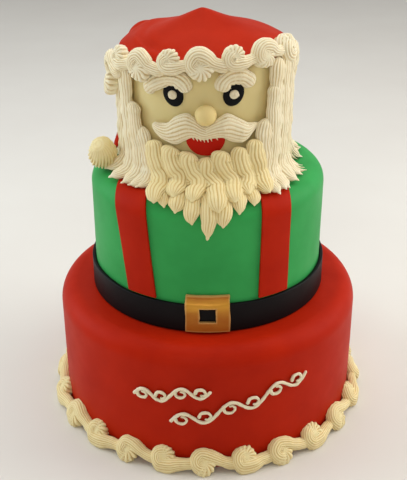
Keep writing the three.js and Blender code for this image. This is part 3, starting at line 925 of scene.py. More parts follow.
@dataclass
class Bloom:
    """The star of icing that a curl starts from: ridges from its middle to a toothed rim."""

    name: str
    seat: Callable[[Points, Points, Points], Points]
    middle: tuple[float, float]
    radius: float
    height: float
    bed: float
    seed: int
    ridges: int = 13
    steps: int = 6
    rings: int = 20
    upper: float = 0.7

    def lay(self) -> bpy.types.Object:
        """Presses the bloom out.

        Returns:
            The bloom as a closed mesh, with its groove shares in an attribute that paints shade in the
            grooves.
        """
        draw = np.random.default_rng(self.seed)
        ball, ring, lap = stock_ball(self.name, self.ridges * self.steps, self.rings)
        down = math.pi * np.interp(ring / self.rings, (0, self.upper, 1), (0, 0.5, 1))
        groove = fluting(lap / self.steps)
        spread, shown = np.sin(down) ** 0.8, ring <= round(self.upper * self.rings)
        turn = FULL_TURN * lap / (self.ridges * self.steps) + 0.5 * (1 - spread) + draw.uniform(0, 1)
        teeth = draw.uniform(0.02, 0.12, self.ridges)[lap // self.steps] * (1 - groove) ** 2
        reach = self.radius * spread * (1 + (teeth - 0.16 * groove) * spread)
        crown = self.height * np.abs(np.cos(down)) ** 0.6 * (1 - 0.22 * groove * smooth(spread * 1.4))
        off = np.where(shown, crown, -self.bed * np.abs(np.cos(down)) ** 0.5)
        along = self.middle[0] + reach * np.cos(turn)
        set_points(ball, self.seat(along, self.middle[1] + reach * np.sin(turn), off))
        # The groove attribute paints shade down in the grooves, fading towards the middle
        note(ball, "groove", groove * smooth(spread * 1.6) * shown)
        return ball


def pipe(
    ropes: Sequence[Rope | Bloom], name: str, patch: float = 5.0, depth: float = 0.6
) -> bpy.types.Object:
    """Lays several ropes as one piece.

    Args:
        ropes: The ropes, and the blooms that they start from.
        name: Name of the piece.
        patch: Size of one swell of the hand's unevenness.
        depth: Height of the unevenness.

    Returns:
        The piece, smooth shaded.
    """
    piece = joined([rope.lay() for rope in ropes], name)
    face_outwards(piece)
    roughen(piece, patch, depth)
    shade(piece)
    return piece


def wall_path(knots: Sequence[Sequence[float]], radius: float, lift: float = 0.0) -> Path:
    """A path on an upright round wall.

    Args:
        knots: Azimuth, height and distance off the wall of each knot.
        radius: Radius of the wall.
        lift: Further distance off the wall, all along.

    Returns:
        The path.
    """
    line = Spline([(*knot, 0.0) if len(knot) == 2 else knot for knot in knots])

    def path(share: Points) -> tuple[Points, Points]:
        """The places by share of the line, and the outward direction at each."""
        azimuth, height, off = line.at(share).T
        return around(azimuth, radius + lift + off, height), around(azimuth, 1.0, 0.0)

    return path


@dataclass(frozen=True)
class Drape:
    """The way that piping hangs down the head's wall, over the ledge and down the middle tier."""

    top: float = 384.0
    lay: float = 4.6

    def seat(self, way: Points) -> tuple[Points, Points, Points, Points]:
        """Where the drape is at each way down it from its top.

        Args:
            way: Distances down the drape.

        Returns:
            Distance from the axis, height, and the outward direction's two parts.
        """
        wall, ledge = HEAD.radius + self.lay, MIDDLE.top + self.lay
        edge = MIDDLE.radius - MIDDLE.shoulder
        inner, outer = edge - wall, MIDDLE.shoulder + self.lay
        wall_run = self.top - ledge - inner
        inner_run, outer_run = math.pi / 2 * inner, math.pi / 2 * outer
        first = np.clip((way - wall_run) / inner, 0, math.pi / 2)
        second = np.clip((way - wall_run - inner_run) / outer, 0, math.pi / 2)
        drop = np.maximum(way - wall_run - inner_run - outer_run, 0)
        late = way >= wall_run + inner_run
        radius = np.where(late, edge + outer * np.sin(second), edge - inner * np.cos(first))
        low = ledge - outer + outer * np.cos(second) - drop
        height = np.where(late, low, ledge + inner - inner * np.sin(first))
        height = np.where(way < wall_run, self.top - way, height)
        level = np.where(late, np.sin(second), np.cos(first))
        upright = np.where(late, np.cos(second), np.sin(first))
        return radius, height, level, upright


@dataclass(frozen=True)
class Strand:
    """One strand of hair or beard, by its root, its tip and its swing from side to side.

    Its reach is the way down the drape to its tip, and its flick turns the tip aside, in degrees.
    """

    root_azimuth: float
    root_height: float
    tip_azimuth: float
    reach: float
    half: float
    lift: float = 0.0
    swing: float = 0.0
    flick: float = 0.0
    turns: float = 1.05
    shiver: float = 0.5

    def rope(self, name: str, seed: int, form: RopeForm, rings: int, nozzle: Nozzle = STAR) -> Rope:
        """The strand as a rope of piping.

        Args:
            name: Name of the rope.
            seed: Seed of its unevenness.
            form: How it swells and thins.
            rings: Steps along it.
            nozzle: What it is piped with.

        Returns:
            The rope, not laid yet.
        """
        drape = Drape()
        start = drape.top - self.root_height
        draw = np.random.default_rng(seed + 900)
        first, second = draw.uniform(0, FULL_TURN, 2)
        sharp = draw.uniform(0.5, 0.9)

        def rise(share: Points) -> Points:
            """How far the strand is lifted off the drape, less so at its root."""
            return self.lift * (0.45 + 0.55 * smooth(share / 0.4))

        def path(share: Points) -> tuple[Points, Points]:
            """The strand's middle line.

            Args:
                share: Shares of the strand, from its root to its tip.

            Returns:
                The places, and the outward direction at each.
            """
            way = start + (self.reach - start) * share
            radius, height, level, upright = drape.seat(way)
            sway = -self.swing * np.sin(FULL_TURN * share * self.turns + 1.0) * (1 - 0.4 * share)
            sway = sway * np.sin(math.pi * np.minimum(share * 1.6, 0.5))
            sway += self.shiver * np.sin(way / 3.1 + first) * np.sin(way / 9.7 + second)
            azimuth = self.root_azimuth + (self.tip_azimuth - self.root_azimuth) * share
            azimuth = azimuth + np.degrees(sway / radius)
            azimuth = azimuth + self.flick * np.clip((share - 0.75) / 0.25, 0, 1) ** 2
            off = rise(share)
            places = around(azimuth, radius + off * level, height + off * upright)
            return places, around(azimuth, level, upright)

        def skirt(share: Points) -> Points:
            """How far the strand's underside reaches down to the icing."""
            return np.maximum(drape.lay - GAP + rise(share), 0.2)

        tip = form.tip * draw.uniform(0.75, 1.25)
        own = replace(form, tip=tip, blunt=form.blunt * (0.6 + 0.7 * sharp))
        return Rope(name, path, self.half, 0.6, drape.lay, nozzle, own, rings, seed, skirt=skirt)


# Sub-assemblies


@dataclass
class Tiers:
    """The three cakes under their rolled icing."""

    laps: int = 192
    top_rings: int = 18
    corner_rings: int = 24
    wall_rings: int = 34
    base_rings: int = 6
    foot_round: float = 1.0
    unevenness: float = 0.45

    def build(self) -> None:
        """Builds and dresses the three tiers."""
        self.cover("bottom_tier", BOTTOM, PANTRY.red, seed=3)
        self.cover("middle_tier", MIDDLE, PANTRY.green, seed=5)
        self.cover("head_tier", HEAD, PANTRY.ivory, seed=7)

    def cover(self, node: str, tier: Tier, finish: Finish, seed: int) -> None:
        """Builds one tier from a ball, ring by ring from the middle of its top to that of its base.

        Args:
            node: The tier's node in the frame.
            tier: Its measures.
            finish: The icing that covers it.
            seed: Sets where its surface swells.
        """
        edge, wall_top = tier.radius - tier.shoulder, tier.top - tier.shoulder
        flat = np.linspace(0, edge, self.top_rings)[:-1]
        corner = np.radians(np.linspace(0, 90, self.corner_rings))
        wall = np.linspace(wall_top, tier.base + self.foot_round, self.wall_rings)[1:]
        foot = np.linspace(tier.radius - self.foot_round, 0, self.base_rings)
        tops, sides, bases = np.ones(len(flat)), np.ones(len(wall)), np.ones(len(foot))
        bend, fall = tier.shoulder * np.sin(corner), tier.shoulder * np.cos(corner)
        radius = np.concatenate([flat, edge + bend, sides * tier.radius, foot])
        height = np.concatenate([tops * tier.top, wall_top + fall, wall, bases * tier.base])
        level = np.concatenate([tops * 0, np.sin(corner), sides, bases * 0])
        cake, ring, lap = stock_ball(node.replace("tier", "cake"), self.laps, len(radius) - 1)
        azimuth = lap * 360 / self.laps
        sunk = self.unevenness * ripple(azimuth, height[ring] - radius[ring], seed)
        sunk = sunk * smooth((height[ring] - tier.base) / 6) * smooth(radius[ring] / 12)
        out = radius[ring] - sunk * level[ring]
        up = height[ring] - sunk * np.sqrt(1 - level[ring] ** 2)
        set_points(cake, around(azimuth, out, up))
        face_outwards(cake)
        shade(cake, CUT_EDGE)
        hand_over(cake, finish, node)


@dataclass
class BeltAndBraces:
    """The black belt with its gold buckle, and the two red braces."""

    belt_thickness: float = 3.5
    belt_inset: float = 0.2
    belt_trim: float = 1.2
    belt_waver: float = 0.7
    buckle_thickness: float = 2.6
    buckle_middle: float = -0.2
    buckle_half: float = 9.9
    buckle_low: float = 134.3
    buckle_high: float = 170.8
    buckle_bend: float = 6.0
    hole_half: float = 3.6
    hole_low: float = 144.6
    hole_high: float = 159.0
    brace_thickness: float = 2.4
    brace_start: float = 88.0
    belt_low: float = field(init=False)
    belt_high: float = field(init=False)

    def __post_init__(self) -> None:
        """Reads the belt's two edges from the frame."""
        low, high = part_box("belt")
        self.belt_low, self.belt_high = low.z / MM, high.z / MM

    def build(self) -> None:
        """Builds and dresses the belt, the buckle and the braces."""
        self.belt()
        self.buckle()
        self.brace("left", middles=(-38.3, -32.3), halves=(9.1, 7.7))
        self.brace("right", middles=(32.5, 31.8), halves=(8.0, 7.9))

    def belt(self) -> None:
        """A strip of black icing, with an edge cut by hand."""

        def place(u: Points, v: Points) -> Points:
            """The strip round the tier, from the middle of the back.

            Args:
                u: Shares of the way round.
                v: Shares of the way up.

            Returns:
                The points.
            """
            azimuth = 180 + 360 * u
            cut = 0.5 * np.sin(np.radians(azimuth * 5 + 40)) + 0.35 * np.sin(np.radians(azimuth * 11))
            tall = self.belt_high - self.belt_low - self.belt_trim + self.belt_waver * cut
            height = self.belt_low + self.belt_inset + tall * v
            return around(azimuth, MIDDLE.radius + GAP, height)

        strip = mapped_sheet("belt_strip", columns=200, rows=10, place=place)
        take(strip)
        bpy.ops.object.mode_set(mode="EDIT")
        bpy.ops.mesh.select_all(action="SELECT")
        bpy.ops.mesh.remove_doubles(threshold=0.05 * MM)
        bpy.ops.object.mode_set(mode="OBJECT")
        middle = strip.data.polygons[0].center
        thicken(strip, self.belt_thickness, edge=0.9, towards=(middle.x, middle.y, 0))
        shade(strip, CUT_EDGE)
        hand_over(strip, PANTRY.black, "belt")

    def buckle(self) -> None:
        """A square of painted icing with a hole, bent in over the edge of the belt."""
        centre, half, low, high = self.buckle_middle, self.buckle_half, self.buckle_low, self.buckle_high
        on_belt = MIDDLE.radius + self.belt_thickness + 2 * GAP
        on_tier = MIDDLE.radius + GAP

        def place(u: Points, v: Points) -> Points:
            """The plate over the belt, bent in to the tier above it.

            Args:
                u: Shares of the way across.
                v: Shares of the way up.

            Returns:
                The points.
            """
            height = low + (high - low) * v
            bend = smooth((height - self.belt_high + 1.0) / self.buckle_bend)
            azimuth = centre + (half + 0.12 * np.sin(9 * v + 4 * u)) * (2 * u - 1) + 0.15 * np.sin(7 * v)
            return around(azimuth, on_belt + (on_tier - on_belt) * bend, height)

        plate = mapped_sheet("buckle_plate", columns=56, rows=56, place=place)

        def in_hole(middle: Vector) -> bool:
            """Whether a place lies in the plate's hole."""
            azimuth = math.degrees(math.atan2(middle.x, -middle.y))
            return abs(azimuth - centre) < self.hole_half and self.hole_low < middle.z < self.hole_high

        select_faces(plate, in_hole)
        bpy.ops.mesh.delete(type="FACE")
        bpy.ops.object.mode_set(mode="OBJECT")
        thicken(plate, self.buckle_thickness, edge=0.8, towards=(0, -1, 0))
        points = points_of(plate)
        spread = np.abs(np.degrees(np.arctan2(points[:, 0], -points[:, 1])) - centre)
        height = points[:, 2]
        degree = math.radians(on_belt)
        outline = np.minimum((half - spread) * degree, np.minimum(height - low, high - height))
        above = np.maximum(self.hole_low - height, height - self.hole_high)
        hole = np.maximum((spread - self.hole_half) * degree, above)
        roughen(plate, patch=9.0, depth=0.5)
        note(plate, "edge", 0.75 * (1 - smooth(np.minimum(outline, np.abs(hole)) / 1.9)))
        # Tone: a painted highlight in a band where the plate bends in over the belt, deeper gold lower down
        # and at the very top
        note(plate, "tone", 0.85 - 0.8 * bump(height - 161.0, 6.5) + 0.15 * bump(height - 168.5, 2.0))
        shade(plate, 50.0)
        hand_over(plate, PANTRY.gold, "buckle")

    def brace(self, side: str, middles: tuple[float, float], halves: tuple[float, float]) -> None:
        """One brace, from under the beard down to the belt.

        Args:
            side: "left" or "right".
            middles: Azimuth of its middle at the top and at the foot.
            halves: Half its width, in degrees, at the top and at the foot.
        """
        start, foot = self.brace_start, self.belt_high + GAP
        flat = MIDDLE.radius - MIDDLE.shoulder - start
        bend = math.pi / 2 * MIDDLE.shoulder
        fall = MIDDLE.top - MIDDLE.shoulder - foot
        seed = 1.0 if side == "left" else 2.3

        def place(u: Points, v: Points) -> Points:
            """The strip over the ledge of the tier and down its wall.

            Args:
                u: Shares of the way across.
                v: Shares of the way down.

            Returns:
                The points.
            """
            way = v * (flat + bend + fall)
            turn = np.clip((way - flat) / MIDDLE.shoulder, 0, math.pi / 2)
            radius = np.minimum(start + way, start + flat) + MIDDLE.shoulder * np.sin(turn)
            drop = np.maximum(way - flat - bend, 0)
            height = MIDDLE.top - MIDDLE.shoulder * (1 - np.cos(turn)) - drop
            down = (MIDDLE.top - height) / (MIDDLE.top - foot)
            half = halves[0] + (halves[1] - halves[0]) * down + 0.12 * np.sin(6 * v + seed)
            azimuth = middles[0] + (middles[1] - middles[0]) * down + half * (2 * u - 1)
            straight = np.sin(np.radians(azimuth)) * (MIDDLE.radius / radius) ** 0.85
            azimuth = np.degrees(np.arcsin(np.clip(straight, -0.97, 0.97)))
            return around(azimuth, radius + GAP * np.sin(turn), height + GAP * np.cos(turn))

        strip = mapped_sheet(f"brace_strip_{side}", columns=16, rows=90, place=place)
        middle = strip.data.polygons[0].center
        thicken(strip, self.brace_thickness, edge=0.7, towards=(middle.x, middle.y, 0.05))
        shade(strip, CUT_EDGE)
        hand_over(strip, PANTRY.red, f"brace_{side}")


@dataclass
class Face:
    """Eyes, nose, mouth, brows and moustache on the wall of the head.

    Each knot of a brow or of an outline is an azimuth and a height.
    """

    eye_long: float = 11.0
    eye_short: float = 9.1
    eye_thickness: float = 1.8
    eye_edge: float = 0.8
    eye_insets: tuple[float, ...] = (0.14, 0.16, 0.2)
    eye_lean: float = 25.0
    pupil_radius: float = 4.1
    pupil_crown: float = 2.7
    pupil_spread: float = 0.24
    nose_azimuth: float = -1.3
    nose_radius: float = 9.3
    nose_stand: float = 4.4
    mouth_azimuth: float = -1.5
    mouth_half: float = 13.5
    mouth_top: float = 311.0
    mouth_depth: float = 18.0
    mouth_thickness: float = 1.6
    brow_half: float = 7.3
    brow_stand: float = 3.2
    leaf_lay: float = 4.0
    peaks: ClassVar[dict[str, tuple[float, float]]] = {"left": (0.2, 0.1), "right": (0.95, -0.25)}
    arches: ClassVar[dict[str, Rows]] = {
        "left": ((-42.6, 348), (-36.5, 355), (-28.5, 361), (-20.6, 362.8), (-15.4, 359), (-12.6, 351)),
        "right": ((8.4, 353), (10.2, 360.8), (15, 365.2), (21, 364.8), (25.6, 361), (29.8, 355.4)),
    }
    leaf_tops: ClassVar[dict[str, Rows]] = {
        "left": (
            (1.5, 320), (-4, 324), (-8, 328.7), (-13.4, 332.8), (-20.6, 328.8), (-26, 322.2),
            (-31.5, 320.6), (-37.8, 320.4),
        ),
        "right": (
            (-3.5, 320), (1, 324), (6, 328.4), (11.9, 332.6), (19, 328.2), (25.5, 322.6),
            (30, 321.2), (34.5, 320.4),
        ),
    }
    leaf_feet: ClassVar[dict[str, Rows]] = {
        "left": (
            (0.5, 309), (-4, 309), (-9.5, 310.6), (-13.5, 308), (-19.8, 303), (-25, 303.8),
            (-31.6, 307.4), (-37.8, 313.4),
        ),
        "right": (
            (-2, 309), (3, 310), (9, 310.6), (13.5, 307.4), (18.5, 304.9), (23.7, 305.3),
            (30.3, 313), (34.5, 319.2),
        ),
    }

    def build(self) -> None:
        """Builds and dresses every piece of the face."""
        self.eye("left", azimuth=-23.0, height=347.4, lean=1.0)
        self.eye("right", azimuth=17.0, height=348.5, lean=-1.0)
        self.nose()
        self.mouth()
        self.brows()
        self.moustache()

    def eye(self, side: str, azimuth: float, height: float, lean: float) -> None:
        """A leaning oval of black icing with a piped dot on it.

        Args:
            side: "left" or "right".
            azimuth: Azimuth of its middle.
            height: Height of its middle.
            lean: Which way it leans, 1 or -1.
        """
        deselect()
        bpy.ops.mesh.primitive_cylinder_add(vertices=72, radius=MM, depth=self.eye_thickness * MM)
        disc = newest(f"eye_oval_{side}")
        select_faces(disc, lambda middle: abs(middle.z) > self.eye_thickness * 0.4)
        for thickness in self.eye_insets:
            bpy.ops.mesh.inset(thickness=thickness * MM)
        bpy.ops.object.mode_set(mode="OBJECT")
        flat = points_of(disc)
        turn = math.radians(self.eye_lean * lean)
        crown = np.clip(np.hypot(flat[:, 0], flat[:, 1]), 0, 1)
        across, up = flat[:, 0] * self.eye_short, flat[:, 1] * self.eye_long
        aside = across * math.cos(turn) - up * math.sin(turn)
        rise = across * math.sin(turn) + up * math.cos(turn)
        rounding = np.where(flat[:, 2] > 0, self.eye_edge * smooth((crown - 0.8) / 0.2), 0)
        lift = GAP + self.eye_thickness / 2 + flat[:, 2] - rounding
        turned = azimuth + np.degrees(aside / HEAD.radius)
        set_points(disc, around(turned, HEAD.radius + lift, height + rise))
        face_outwards(disc)
        shade(disc, CUT_EDGE)
        hand_over(disc, PANTRY.black, f"eye_{side}")
        self.pupil(side, azimuth, height)

    def pupil(self, side: str, azimuth: float, height: float) -> None:
        """A piped dot, with the small peak that the nozzle leaves.

        Args:
            side: "left" or "right".
            azimuth: Azimuth of its middle.
            height: Height of its middle.
        """
        peak = self.peaks[side]
        deselect()
        bpy.ops.mesh.primitive_uv_sphere_add(segments=40, ring_count=24, radius=MM)
        dot = newest(f"pupil_dot_{side}")
        ball = points_of(dot)
        near = bump(np.hypot(ball[:, 0] - peak[0], ball[:, 1] - peak[1]), self.pupil_spread)
        out = np.hypot(ball[:, 0], ball[:, 1])
        swirl = 0.12 * np.sin(3 * np.arctan2(ball[:, 1], ball[:, 0]) + 9 * out)
        grow = self.pupil_radius * (1 + 0.14 * near)
        crown = np.maximum(ball[:, 2], 0) * self.pupil_crown * (1 + 0.3 * near + swirl)
        lift = GAP + self.eye_thickness + crown
        aside = np.degrees(ball[:, 0] * grow / HEAD.radius)
        set_points(dot, around(azimuth + aside, HEAD.radius + lift, height + ball[:, 1] * grow))
        face_outwards(dot)
        shade(dot)
        hand_over(dot, PANTRY.bead, f"pupil_{side}")

    def nose(self) -> None:
        """A ball of icing rolled in the hand."""
        low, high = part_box("nose")
        middle = around(self.nose_azimuth, HEAD.radius + self.nose_stand, (low.z + high.z) / 2 / MM)
        deselect()
        bpy.ops.mesh.primitive_uv_sphere_add(segments=64, ring_count=40, radius=self.nose_radius * MM)
        ball = newest("nose_ball")
        set_points(ball, points_of(ball) * (1.03, 0.96, 0.98) + middle)
        roughen(ball, patch=12.0, depth=0.5)
        shade(ball)
        hand_over(ball, PANTRY.nose, "nose")

    def mouth(self) -> None:
        """A cut of red icing with a straight top and a round lower lip."""

        def place(u: Points, v: Points) -> Points:
            """The cut on the wall of the head.

            Args:
                u: Shares of the way across.
                v: Shares of the way up.

            Returns:
                The points.
            """
            across = 2 * u - 1
            fall = 1 + (self.mouth_depth - 1) * (1 - np.abs(across) ** 2.2) ** 0.6
            azimuth = self.mouth_azimuth + self.mouth_half * across
            return around(azimuth, HEAD.radius + GAP, self.mouth_top - fall * (1 - v))

        lip = mapped_sheet("mouth_cut", columns=40, rows=18, place=place)
        thicken(lip, self.mouth_thickness, edge=0.5, towards=(0, -1, 0))
        shade(lip, CUT_EDGE)
        hand_over(lip, PANTRY.lip, "mouth")

    def brows(self) -> None:
        """Two brows, each one arched rope."""
        form = RopeForm(cap=7, tip=7, point=2.0, blunt=0.5, nib=0, beat=22, swell=0.06)
        for seed, (side, knots) in enumerate(self.arches.items(), 70):
            rope = Rope(
                name=f"brow_rope_{side}",
                path=wall_path(knots, HEAD.radius, self.brow_stand),
                half=self.brow_half,
                rise=0.62,
                bed=2.9,
                nozzle=Nozzle(ridges=8, depth=0.16),
                form=form,
                seed=seed,
                teeth=1.4,
            )
            hand_over(pipe([rope], rope.name), PANTRY.cream, f"brow_{side}")

    def moustache(self) -> None:
        """Two waved leaves of piping that start over the mouth in a fringe of small points."""
        for seed, (side, knots) in enumerate(self.leaf_tops.items(), 75):
            name = f"moustache_leaf_{side}"
            leaf = self.leaf(name, Spline(knots), Spline(self.leaf_feet[side]), seed)
            whole = joined([leaf, *self.fringe(side)], name)
            face_outwards(whole)
            roughen(whole, patch=5.0, depth=0.6)
            shade(whole)
            hand_over(whole, PANTRY.cream, f"moustache_{side}")

    def leaf(self, name: str, top: Spline, bottom: Spline, seed: int) -> bpy.types.Object:
        """One half of the moustache, between its two outlines.

        Args:
            name: Name of the piece.
            top: The upper outline, by azimuth and height.
            bottom: The lower outline.
            seed: Seed of its unevenness.

        Returns:
            The half as a closed mesh.
        """
        rings, nozzle = 64, Nozzle(ridges=12, depth=0.11)
        draw = np.random.default_rng(seed)
        leaf, ring, lap = stock_ball(name, nozzle.laps, rings)
        share = np.arange(rings + 1) / rings
        high, low = top.at(share), bottom.at(share)
        root = dome(share / 0.05)
        tip = np.sqrt(np.clip(1 - np.clip((share - 0.93) / 0.07, 0, 1) ** 2, 0, 1))
        close = np.minimum(root, tip)
        angle, groove, _ = nozzle.section(lap, draw)
        reach = 1 - nozzle.depth * groove
        spread, middle = (high - low) / 2, (high + low) / 2
        place = middle[ring] + spread[ring] * (np.cos(angle) * reach * close[ring])[:, None]
        thick = np.linalg.norm(spread * (math.radians(HEAD.radius), 1.0), axis=1)
        body = 1 + 0.06 * np.sin(share * 17 + draw.uniform(0, FULL_TURN))
        crown = np.minimum(thick * 0.62, 6.6) * body
        rise = np.sin(angle)
        up = np.where(rise > 0, rise * reach * crown[ring], rise * (self.leaf_lay - GAP)) * close[ring]
        set_points(leaf, around(place[:, 0], HEAD.radius + self.leaf_lay + up, place[:, 1]))
        # The groove attribute paints shade down in the grooves
        note(leaf, "groove", np.minimum(groove, 1) * np.minimum(close[ring] * 1.5, 1))
        return leaf

    def fringe(self, side: str) -> list[bpy.types.Object]:
        """The row of small points where the nozzle lifted off over the mouth.

        Args:
            side: "left" or "right".

        Returns:
            The points, each its own mesh.
        """
        azimuths = np.linspace(-9.6, -0.8, 5) if side == "left" else np.linspace(1.5, 5.2, 2)
        form = RopeForm(cap=2, tip=6.5, point=1.3, blunt=0.8, nib=0.8, swell=0.0)
        teeth = []
        for index, azimuth in enumerate(azimuths):
            tip = 310.4 - (4.3 - 0.3 * abs(azimuth + 2.5))
            knots = ((azimuth, 314.5, 0.0), (azimuth + 0.3, self.mouth_top, 0.7), (azimuth + 1.1, tip, 0.6))
            rope = Rope(
                name=f"fringe_{side}_{index}",
                path=wall_path(knots, HEAD.radius, self.leaf_lay),
                half=2.2,
                rise=1.0,
                bed=2.2,
                nozzle=Nozzle(ridges=3),
                form=form,
                rings=14,
                seed=90 + index,
            )
            teeth.append(rope.lay())
        return teeth


class Turn(Enum):
    """Which way a curl of a border turns."""

    OVER = 1
    UNDER = -1

    @classmethod
    def of(cls, number: int) -> "Turn":
        """The turn of a numbered curl: over for the even ones and under for the odd ones."""
        return cls.OVER if number % 2 == 0 else cls.UNDER


@dataclass(frozen=True)
class CurlForm:
    """The middle line of a curl that turns over: its head by its size, its tail by the pitch."""

    size: float
    half: float
    lean: float
    head: Rows
    tail: Rows
    flare: float
    middle: tuple[float, float]
    bloom: float
    teeth: float = 0.6
    thin: float = 0.25


FOOT_OVER = CurlForm(
    size=13.0,
    half=7.1,
    lean=36.0,
    head=((0.3, -0.34), (0.0, -0.42), (-0.36, -0.28), (-0.46, 0.08), (-0.26, 0.38), (0.05, 0.46)),
    tail=((0.19, 0.34), (0.32, 0.14), (0.47, -0.02), (0.66, -0.17), (0.93, -0.27)),
    flare=0.1,
    middle=(0.05, -0.14),
    bloom=0.8,
)
FOOT_UNDER = replace(FOOT_OVER, tail=((0.19, 0.42), (0.32, 0.33), (0.47, 0.25), (0.66, 0.18), (0.93, 0.1)))
TRIM_OVER = CurlForm(
    size=13.2,
    half=6.9,
    lean=8.0,
    head=((0.12, -0.36), (-0.2, -0.38), (-0.46, -0.08), (-0.34, 0.3), (0.02, 0.46)),
    tail=((0.2, 0.28), (0.34, 0.02), (0.5, -0.12), (0.68, -0.22), (0.88, -0.24)),
    flare=0.12,
    middle=(0.02, -0.22),
    bloom=0.78,
)
TRIM_UNDER = CurlForm(
    size=10.9,
    half=6.3,
    lean=8.0,
    head=((0.1, -0.22), (-0.16, -0.26), (-0.38, 0.0), (-0.28, 0.3), (0.04, 0.42)),
    tail=((0.2, 0.4), (0.34, 0.34), (0.5, 0.26), (0.68, 0.18), (0.88, 0.12)),
    flare=0.12,
    middle=(0.02, -0.12),
    bloom=0.82,
)
FOOT_FORMS = {Turn.OVER: FOOT_OVER, Turn.UNDER: FOOT_UNDER}
TRIM_FORMS = {Turn.OVER: TRIM_OVER, Turn.UNDER: TRIM_UNDER}
# The stars draw their unevenness from seeds of their own
STAR_SEEDS = 5000


@dataclass(frozen=True)
class Curl:
    """A fat curl of piping: it starts in a star, turns over or under, and its tail runs on."""

    azimuth: float
    height: float
    radius: float
    pitch: float
    turn: Turn
    form: CurlForm
    grown: float = 1.0
    hang: float = 0.0

    def seat(self, along: Points, up: Points, off: Points) -> Points:
        """Points on the curl's leaning bed, wrapped round the tier.

        Args:
            along: Distances round the tier from the curl's pivot.
            up: Distances up the bed.
            off: Distances off the bed.

        Returns:
            The points.
        """
        lean = math.radians(self.form.lean)
        out = off * math.cos(lean) - up * math.sin(lean)
        rise = up * math.cos(lean) + off * math.sin(lean)
        azimuth = self.azimuth + np.degrees(along / self.radius)
        return around(azimuth, self.radius + out, self.height + rise)

    def parts(self, name: str, seed: int) -> list[Rope | Bloom]:
        """The bloom that the curl starts from, and the curl as a rope of piping.

        Args:
            name: Name of the rope.
            seed: Seed of its unevenness.

        Returns:
            Both, not laid yet.
        """
        draw = np.random.default_rng(seed)
        size = self.form.size * self.grown * draw.uniform(0.95, 1.05)
        knots = [[x * size, y * size] for x, y in self.form.head]
        knots[0][1] -= self.hang
        knots[1][1] -= 0.4 * self.hang
        knots += [[x * self.pitch, y * size] for x, y in self.form.tail]
        stops = (0, 2, len(self.form.head), len(knots) - 1)
        offs = np.interp(np.arange(len(knots)), stops, (-0.3, 0.0, 0.02, -0.2)) * size
        offs[:2] -= (0.3 * self.hang, 0.12 * self.hang)
        places = np.array(knots) * (1, self.turn.value) + draw.uniform(-0.35, 0.35, (len(knots), 2))
        line = Spline(np.column_stack([places, offs]))
        lean = math.radians(self.form.lean)

        def path(share: Points) -> tuple[Points, Points]:
            """The curl's middle line.

            Args:
                share: Shares of the curl, from its star to the end of its tail.

            Returns:
                The places, and the direction off the bed at each.
            """
            along, up, off = line.at(share).T
            azimuth = self.azimuth + np.degrees(along / self.radius)
            return self.seat(along, up, off), around(azimuth, math.cos(lean), math.sin(lean))

        form = RopeForm(
            cap=3.2, tip=8, point=2.0, nib=0, beat=30, swell=0.02,
            thin=self.form.thin, late=0.45, over=0.3, flare=self.form.flare,
        )
        half = self.form.half * self.grown * draw.uniform(0.96, 1.04)
        rope = Rope(
            name=name,
            path=path,
            half=half,
            rise=0.95,
            bed=half,
            nozzle=Nozzle(ridges=11, depth=0.13),
            form=form,
            rings=56,
            seed=seed,
            teeth=self.form.teeth,
        )
        across, up = self.form.middle
        bloom = Bloom(
            name=f"{name}_star",
            seat=self.seat,
            middle=(across * size, self.turn.value * up * size - self.hang),
            radius=self.form.bloom * size,
            height=0.78 * half,
            bed=half,
            seed=seed + STAR_SEEDS,
        )
        return [bloom, rope]


@dataclass(frozen=True)
class Fold:
    """A soft fold across the cap: its height, where it lies, and how far it spreads."""

    height: float
    azimuth: float
    sector: float
    out: float
    slant: float
    width: float
    pivot: ClassVar[float] = -62.0

    def over(self, azimuth: Points, out: Points) -> Points:
        """Height of the fold by azimuth and by distance from the middle of the cap."""
        run = self.out + self.slant * (azimuth - self.pivot)
        return self.height * (bump(out - run, self.width) * bump(azimuth - self.azimuth, self.sector))


